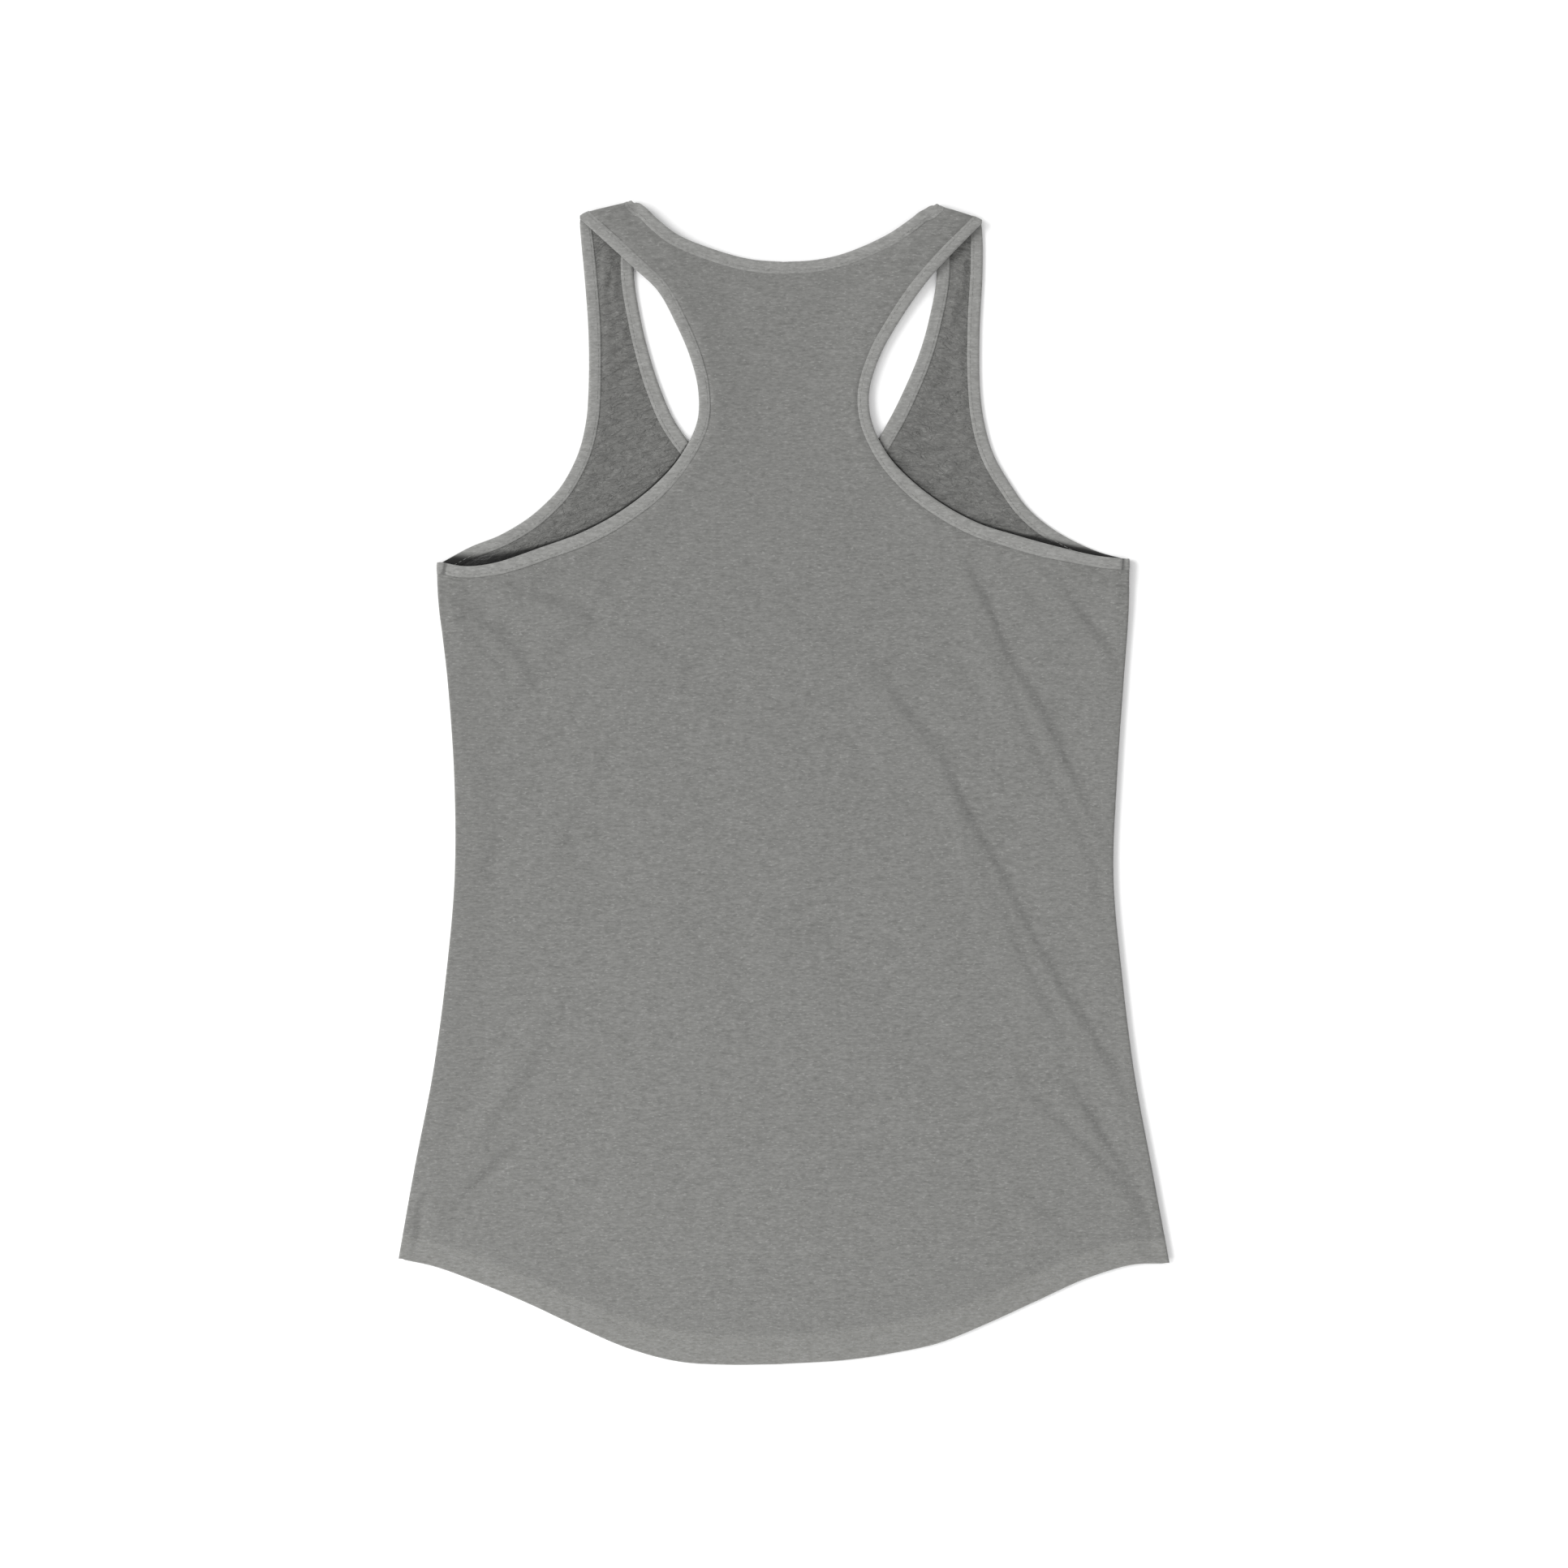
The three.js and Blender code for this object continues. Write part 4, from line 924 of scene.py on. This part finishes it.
def make_front():
    """The front panel's grid: the body up to the armholes and the scoop, and two straps."""
    cloth = Cloth(GRID_ROWS, GRID_COLUMNS, -1)
    grid = {"neck": 22, "strap": 30, "armhole": 48, "body": 74, "strap_rows": 92}
    for half in halves:
        neck_line = half.front_neck + PANEL_INSET * across(half.front_neck, TOWARDS_CLOTH["neck"])
        arm_line = half.front_armhole + PANEL_INSET * across(half.front_armhole, TOWARDS_CLOTH["armhole"])
        neck_y, arm_y = FRONT_STRAP_FOOT["neck_y"], FRONT_STRAP_FOOT["arm_y"]
        neck_x, arm_x = crossing(neck_line, 1, neck_y)[0], crossing(arm_line, 1, arm_y)[0]
        neck_xs = np.linspace(0, neck_x, grid["neck"] + 1)[:-1]
        neck_ys = crossing(neck_line, 0, np.clip(neck_xs, 0.01, None))
        parts = strap_parts(grid["strap"], (0.04, 0.08))
        tops = [*zip(neck_xs, neck_ys)]
        tops += [(mix(neck_x, arm_x, part), mix(neck_y, arm_y, part)) for part in parts(0)]
        tops += armhole_tops(half, arm_line, arm_x, grid["armhole"])

        # The rows close up along the back's bound edge, where the hollow beside it shows.
        edge_x = np.array([0, 28, 45])
        edge_y = np.array([138, 148, 168])

        def guide(x, line=half.back_armhole):
            below = np.interp(x, [*edge_x, 57], [*edge_y, crossing(line, 0, 57)[0]])
            return np.where(x < 57, below, crossing(line, 0, np.maximum(x, 57)))

        row = add_body(cloth, half, tops, grid["body"], front_height, FRONT_HEM_LIFT, guide)
        foot = {"row": row, "column": grid["neck"], "neck_y": neck_y, "arm_y": arm_y}
        add_strap(cloth, half, foot, neck_line, arm_line, parts, grid["strap_rows"], front_height)
    return cloth


def make_back():
    """The back panel's grid: the body, the racer part between the armholes, and two short straps."""
    cloth = Cloth(GRID_ROWS, GRID_COLUMNS, 1)
    grid = {"neck": 22, "strap": 15, "armhole": 78, "body": 132, "racer": 44, "strap_rows": 16}
    for half in halves:
        neck_line = half.back_neck + PANEL_INSET * across(half.back_neck, TOWARDS_CLOTH["neck"])
        arm_line = half.back_armhole + PANEL_INSET * across(half.back_armhole, TOWARDS_CLOTH["armhole"])
        parts = near_edge(grid["strap"])
        foot_x = crossing(arm_line, 1, RACER["arm_y"])[0]
        strap_x = crossing(arm_line, 1, RACER["strap_y"])[0]
        neck_y = crossing(neck_line, 0, RACER["neck_x"])[0]

        # The body reaches up to a line from the centre to the armhole, and then to the armhole itself.
        inner_share = RACER["neck_x"] / strap_x
        across_it = np.r_[np.linspace(0, inner_share, grid["neck"] + 1)[:-1], mix(inner_share, 1, parts)]
        base = np.stack([across_it * foot_x, mix(RACER["centre_y"], RACER["arm_y"], across_it)], axis=1)
        tops = [*base, *armhole_tops(half, arm_line, foot_x, grid["armhole"])]
        row = add_body(cloth, half, tops, grid["body"], back_height, 0)

        # The racer part between the armholes reaches the neck, and then the foot of the strap.
        neck_xs = np.linspace(0, RACER["neck_x"], grid["neck"] + 1)[:-1]
        crowns = [*zip(neck_xs, crossing(neck_line, 0, np.clip(neck_xs, 0.01, None)))]
        crowns += [(mix(RACER["neck_x"], strap_x, part), mix(neck_y, RACER["strap_y"], part))
                   for part in parts]
        crowns = np.array(crowns)
        share = np.linspace(0, 1, grid["racer"] + 1)[1:, None]
        arm_x = crossing(arm_line, 1, mix(RACER["arm_y"], RACER["strap_y"], share[:, 0]))[:, None]
        x = mix(base[:, 0], crowns[:, 0], share) * arm_x / mix(foot_x, strap_x, share)
        y = mix(base[:, 1], crowns[:, 1], share)
        cloth.put(half, row + 1, 0, x, y, back_height(half, x, y))
        foot = {"row": row + grid["racer"], "column": grid["neck"], "neck_y": neck_y,
                "arm_y": RACER["strap_y"]}
        add_strap(cloth, half, foot, neck_line, arm_line, lambda _: parts, grid["strap_rows"], back_height)
    return cloth


# The folded strips round the neck and the armholes

def strip_section():
    """Half outlines of the strip: a along the cloth from the bound edge, b along its outer normal."""
    top = [(6.8, 0.6), (6.8, 0.74), (6.65, 0.88), (6.3, 1.0), (5.8, 1.09), (5.2, 1.15), (4.6, 1.21),
           (3.8, 1.26), (2.9, 1.28), (2.1, 1.28), (1.5, 1.24), (1.0, 1.12), (0.55, 0.88), (0.22, 0.56), (0.06, 0.22)]
    slot = [(1.25, 0.3), (1.4, 0.57), (3.4, 0.57)]
    bottom = [(a, -b) for a, b in reversed(top)]
    return np.array(top + bottom + [(a, -b) for a, b in reversed(slot)] + slot)


def edge_stations(half, edge, height, faces, spacing=1.1):
    """Stations of a bound edge that lies flat.

    Each has its place, the way into the cloth, the way it faces and how wide the strip is.
    """
    line = getattr(half, edge)
    length = np.linalg.norm(np.diff(line, axis=0), axis=1).sum()
    fine = resample(line, int(length / spacing))
    inward = across(fine, TOWARDS_CLOTH[edge.split("_")[1]])[1:-1]
    fine = fine[1:-1]
    flip = np.array([half.sign, 1])
    level = np.zeros(len(fine))
    width = strip_width(edge, fine[:, 0], fine[:, 1])
    # Towards its turned ends the strip narrows to the width that it has there.
    ends = np.minimum(*[np.linalg.norm(fine - line[end], axis=1) for end in (0, -1)])
    if edge.endswith("armhole"):
        width = mix(BINDING_WIDTH, width, smooth_step((2, 16), ends))
    else:
        start = np.linalg.norm(fine - line[0], axis=1)
        width = mix(BINDING_WIDTH, width, smooth_step((2, 16), start))
    return (np.c_[fine * flip, height(fine[:, 0], fine[:, 1])], np.c_[inward * flip, level],
            np.c_[level, level, level + faces], width)


def turn_stations(half, corner, outward, inward):
    """Stations where a bound edge turns over, from the front up to the back."""
    angle = np.linspace(0, math.pi / 2, 9)
    lean, rise, facing = squared_turn(angle)
    lean, aside = np.r_[lean, lean[-2::-1]], np.r_[facing[0], facing[0][-2::-1]]
    height = np.r_[rise, 2 - rise[-2::-1]]
    up = np.r_[-facing[1], facing[1][-2::-1]]
    x = half.sign * (corner[0] + outward[0] * FOLD_RADIUS * lean)
    y = corner[1] + outward[1] * FOLD_RADIUS * lean
    place = np.stack([x, y, FRONT_EDGE + FOLD_RADIUS * height], axis=1)
    normal = np.stack([half.sign * outward[0] * aside, outward[1] * aside, up], axis=1)
    count = len(place)
    into_cloth = np.tile([half.sign * inward[0], inward[1], 0], (count, 1))
    return place, into_cloth, normal, np.full(count, BINDING_WIDTH)


def join_stations(parts):
    return [np.concatenate(arrays) for arrays in zip(*parts)]


def backwards(stations):
    return [array[::-1] for array in stations]


def on_front(x, y):
    return 0 * x + FRONT_EDGE


def on_back_neck(x, y):
    return back_neck_height(x)


def armhole_stations(half):
    """The ring of an armhole: front, underarm, back and shoulder."""
    return join_stations([
        edge_stations(half, "front_armhole", on_front, -1),
        turn_stations(half, half.underarm, (1, 0), (0, -1)),
        backwards(edge_stations(half, "back_armhole", back_edge_height, 1)),
        backwards(turn_stations(half, half.arm, half.outward, -half.along)),
    ])


def neck_stations():
    """The ring of the neck: front, one shoulder, back and the other shoulder."""
    def centre(y, z, faces, edge):
        width = strip_width(edge, np.zeros(1), np.full(1, y))
        return [np.array([[0, y, z]]), np.array([[0.0, -1, 0]]), np.array([[0.0, 0, faces]]), width]

    return join_stations([
        edge_stations(LEFT, "front_neck", on_front, -1),
        centre(LEFT.front_neck[-1, 1], FRONT_EDGE, -1, "front_neck"),
        backwards(edge_stations(RIGHT, "front_neck", on_front, -1)),
        turn_stations(RIGHT, RIGHT.neck, RIGHT.outward, RIGHT.along),
        edge_stations(RIGHT, "back_neck", on_back_neck, 1),
        centre(LEFT.back_neck[-1, 1], BACK_NECK_LOW, 1, "back_neck"),
        backwards(edge_stations(LEFT, "back_neck", on_back_neck, 1)),
        backwards(turn_stations(LEFT, LEFT.neck, LEFT.outward, LEFT.along)),
    ])


TURN_PRESSED = 0.46           # how much thinner a strip is where it turns over
TURN_REACH = 6
JOIN_DEPTH = 0.35             # how far the join of a strip's ends is sunk, in half thicknesses
JOIN_REACH = 0.9
# how dark the painted shade in the groove of the join is
JOIN_PAINTED_SHADE = 0.7
GROOVE_AT = 3.4               # the groove along the neck strip's middle, from its edge
GROOVE_REACH = 0.6
STRIP_RIPPLE = 0.06
STRIP_SWELL = 0.03


def pressed_at_turns(place):
    """Strips are pressed thinner where they turn over: 1 elsewhere, less near a turned corner."""
    share = np.ones(len(place))
    for half in halves:
        for corner in (half.neck, half.arm, half.underarm):
            away = np.linalg.norm(place[:, :2] - corner * (half.sign, 1), axis=1)
            share -= TURN_PRESSED * np.exp(-((away / TURN_REACH) ** 2))
    return share


def make_strip(name, stations, join_at, seed, seamed):
    """A ring of the strip's section, with small ripples and a dent where its two ends are sewn together."""
    place, inward, normal, width = stations
    section = strip_section()
    count, points = len(place), len(section)
    run = np.r_[0, np.cumsum(np.linalg.norm(np.diff(place, axis=0), axis=1))]
    ripple = waves(run, 0 * run, seed, (7, 16))
    swell = waves(run, 0 * run, seed + 1, (30, 80))
    join = np.exp(-((np.linalg.norm(place[:, :2] - join_at, axis=1) / JOIN_REACH) ** 2))
    crown = smooth_step((0.6, 1.0), abs(section[:, 1]))
    wide = (width / BINDING_WIDTH + STRIP_SWELL * swell)[:, None]
    a = np.where(section[:, 0] > 2, 2 + (section[:, 0] - 2) * wide, section[:, 0])
    thick = pressed_at_turns(place) + STRIP_RIPPLE * ripple - JOIN_DEPTH * join
    b = section[:, 1] * mix(1, thick[:, None], crown)
    # The neck strip is sewn down along its middle as well, which leaves a shallow groove.
    groove = np.exp(-(((section[:, 0] - GROOVE_AT) / GROOVE_REACH) ** 2))
    b = b - np.sign(section[:, 1]) * crown * seamed * groove
    rings = place[:, None] + a[..., None] * inward[:, None] + b[..., None] * normal[:, None]
    number = np.arange(count * points).reshape(count, points)
    ahead, beside = np.roll(number, -1, axis=0), np.roll(number, -1, axis=1)
    faces = np.stack([number, beside, np.roll(ahead, -1, axis=1), ahead], axis=2).reshape(-1, 4)
    flat = rings.reshape(-1, 3)
    corner = flat[faces]
    volume = (corner[:, 0] * np.cross(corner[:, 1], corner[:, 2])).sum()
    volume += (corner[:, 0] * np.cross(corner[:, 2], corner[:, 3])).sum()
    if volume < 0:
        faces = faces[:, ::-1]
    # The groove where the strip's ends are joined gets painted shade, and so does the strip where it lies in the
    # front's painted hollow shade.
    shade = np.repeat(JOIN_PAINTED_SHADE * join, points)
    for half in halves:
        in_front = (flat[:, 2] < FRONT_EDGE + 1.9) & (half.sign * flat[:, 0] > 0)
        shade[in_front] += painted_shade(half, half.sign * flat[in_front, 0], flat[in_front, 1])
    return make_object(name, flat, faces, [STRIP], marks={"painted_shade": shade, "doubled": np.ones(len(flat))})


# Stitching

STITCH_PITCH = 3.1            # from one stitch to the next
STITCH_LENGTH = 2.6           # what shows of it
THREAD_RADIUS = 0.14
STITCH_SIDES = 6


def stitch_path(points, normals, shift):
    """Short threads along a path: each rises out of the cloth, runs along it and dips back in."""
    run = np.r_[0, np.cumsum(np.linalg.norm(np.diff(points, axis=0), axis=1))]
    centres = np.arange(shift + STITCH_PITCH / 2, run[-1] - STITCH_PITCH / 2, STITCH_PITCH)
    thick = np.array([0.55, 1, 1, 1, 0.55]) * THREAD_RADIUS
    rings, sides = len(thick), STITCH_SIDES
    u = np.linspace(-0.5, 0.5, rings)
    lift = THREAD_RADIUS * (0.55 - 15.6 * u ** 4)
    angle = np.linspace(0, 2 * math.pi, sides, endpoint=False)

    def along(at, values):
        return np.stack([np.interp(at, run, values[:, axis]) for axis in range(3)], axis=-1)

    at = centres[:, None] + u * STITCH_LENGTH
    middle = along(at, points)
    upward = along(at, normals)
    tangent = along(at + 0.3, points) - along(at - 0.3, points)
    tangent /= np.linalg.norm(tangent, axis=2, keepdims=True)
    sideways = np.cross(tangent, upward)
    sideways /= np.linalg.norm(sideways, axis=2, keepdims=True)
    middle = middle + upward * lift[:, None]
    ring = (middle[:, :, None]
            + sideways[:, :, None] * (np.cos(angle)[:, None] * thick[:, None, None])
            + upward[:, :, None] * (np.sin(angle)[:, None] * thick[:, None, None]))
    places = ring.reshape(-1, 3)
    body = []
    for i in range(rings - 1):
        for j in range(sides):
            k = (j + 1) % sides
            body.append((i * sides + j, i * sides + k, (i + 1) * sides + k, (i + 1) * sides + j))
    block = rings * sides
    quads = np.concatenate([np.array(body) + block * n for n in range(len(centres))])
    caps = np.array([list(range(sides))[::-1], [block - sides + j for j in range(sides)]])
    ends = np.concatenate([caps + block * n for n in range(len(centres))])
    return places, quads, ends


def make_stitches(name, paths):
    """One object of all the stitches along several paths."""
    places, faces, start = [], [], 0
    for points, normals, shift in paths:
        found, quads, ends = stitch_path(points, normals, shift)
        faces += (quads + start).tolist() + (ends + start).tolist()
        places.append(found)
        start += len(found)
    mesh = bpy.data.meshes.new(name)
    mesh.from_pydata((drawn_in(np.concatenate(places)) * MM).tolist(), [], faces)
    mesh.materials.append(THREAD)
    mesh.polygons.foreach_set("use_smooth", [True] * len(mesh.polygons))
    mesh.update()
    obj = bpy.data.objects.new(name, mesh)
    bpy.context.scene.collection.objects.link(obj)
    return obj


def hem_paths(cloth, sink):
    """Two rows of stitches along the hem, on the outer face of a panel."""
    _, _, normal, outer, _ = cloth.skins()
    paths = []
    for row, shift in ((HEM_ROWS.index(0.022), 0.0), (HEM_ROWS.index(0.032), 1.3)):
        there = ~np.isnan(outer[row, :, 0])
        paths.append((outer[row, there] - normal[row, there] * sink, normal[row, there], shift))
    return paths


def strip_paths(stations):
    """A row of stitches near the inner border of a strip, on either face."""
    place, inward, normal, width = [np.concatenate([array, array[:1]]) for array in stations]
    on_top = place + 0.74 * width[:, None] * inward
    face = 1.12 * pressed_at_turns(place)[:, None] * normal
    return [(on_top + face, normal, 0.0), (on_top - face, -normal, 1.5)]


back_cloth = make_back()
front_cloth = make_front()
back_panel = back_cloth.build("back_panel_jersey", [OUTSIDE, INSIDE])
front_panel = front_cloth.build("front_panel_jersey", [OUTSIDE, INSIDE])

strips = {
    "neck_binding": ("neck_strip", neck_stations(), (-87.0, 340.0), 0.3),
    "armhole_binding_left": ("armhole_strip_left", armhole_stations(LEFT), (-199.5, 129.2), 0.0),
    "armhole_binding_right": ("armhole_strip_right", armhole_stations(RIGHT), (200.6, 132.0), 0.0),
}
seams = []
for number, (node, (name, stations, join_at, groove)) in enumerate(strips.items()):
    strip = make_strip(name, stations, join_at, SEED + 20 + 3 * number, groove)
    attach(strip, "root")
    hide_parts(node)
    seams.append(make_stitches(f"{name}_stitches", strip_paths(stations)))
seams.append(make_stitches("back_hem_stitches", hem_paths(back_cloth, 0.03)))
seams.append(make_stitches("front_hem_stitches", hem_paths(front_cloth, 0.12)))
for seam in seams:
    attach(seam, "root")

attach(back_panel, "root")
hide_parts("back_panel")
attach(front_panel, "root")
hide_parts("front_panel")


# The studio

def matt_paper():
    """White background paper: matt, with the faint tooth that keeps it from looking like plastic."""
    material, tree = new_material("matt_background_paper")
    place = add(tree, "ShaderNodeTexCoord").outputs["Object"]
    tooth = add(tree, "ShaderNodeTexNoise", {"Vector": place}, {"Scale": 1 / (2 * MM), "Detail": 4.0})
    relief = add(tree, "ShaderNodeBump", {"Height": tooth.outputs["Fac"]},
                 {"Strength": 0.1, "Distance": 0.05 * MM})
    paper = add(tree, "ShaderNodeBsdfPrincipled", {"Normal": relief.outputs["Normal"]},
                {"Base Color": linear("#f4f4f4"), "Roughness": 0.95, "IOR": 1.45, "Specular IOR Level": 0.1})
    add(tree, "ShaderNodeOutputMaterial", {"Surface": paper.outputs["BSDF"]})
    return material


def make_floor():
    reach, below = 6000.0, -0.15
    corners = [(-reach, -reach, below), (reach, -reach, below), (reach, reach, below), (-reach, reach, below)]
    floor = make_object("floor", corners, [(0, 1, 2, 3)], [matt_paper()])


PHOTO_WIDTH = 1932
MM_PER_PIXEL = 0.48
PHOTO_CENTRE = (0.24, -1.2)   # the photo's middle in the garment's frame, in mm
LENS = 100.0
SENSOR = 36.0


def make_camera():
    width = PHOTO_WIDTH * MM_PER_PIXEL * MM
    data = bpy.data.cameras.new("camera")
    data.lens = LENS
    data.sensor_width = SENSOR
    camera = bpy.data.objects.new("camera", data)
    camera.location = (PHOTO_CENTRE[0] * MM, PHOTO_CENTRE[1] * MM, width * LENS / SENSOR)
    bpy.context.scene.collection.objects.link(camera)
    bpy.context.scene.camera = camera


# A broad soft light from the left casts the narrow shadow, a second one from the lower left fills
# in, and the rest comes from all round. The paper is overexposed, as in the photo.
KEY_FROM = (-1.0, 0.2, 0.77)
KEY_IRRADIANCE = 2.35
KEY_ANGLE = 36                # seen from the cloth, in degrees
FILL_AT = (-0.55, -0.85, 0.7)  # in metres
FILL_SIZE = 0.4
FILL_POWER = 4.4
SKY_STRENGTH = 0.87


def aim(light, towards):
    light.rotation_euler = Vector(towards).to_track_quat("Z", "Y").to_euler()
    bpy.context.scene.collection.objects.link(light)


def make_lights():
    data = bpy.data.lights.new("key", "SUN")
    data.energy = KEY_IRRADIANCE
    data.angle = math.radians(KEY_ANGLE)
    aim(bpy.data.objects.new("key", data), KEY_FROM)
    data = bpy.data.lights.new("fill", "AREA")
    data.energy = FILL_POWER
    data.size = FILL_SIZE
    fill = bpy.data.objects.new("fill", data)
    fill.location = FILL_AT
    aim(fill, FILL_AT)
    world = bpy.data.worlds.new("studio")
    bpy.context.scene.world = world
    world.use_nodes = True
    sky = world.node_tree.nodes["Background"]
    sky.inputs["Color"].default_value = (1, 1, 1, 1)
    sky.inputs["Strength"].default_value = SKY_STRENGTH
    bpy.context.scene.view_settings.view_transform = "Standard"


make_floor()
make_camera()
make_lights()
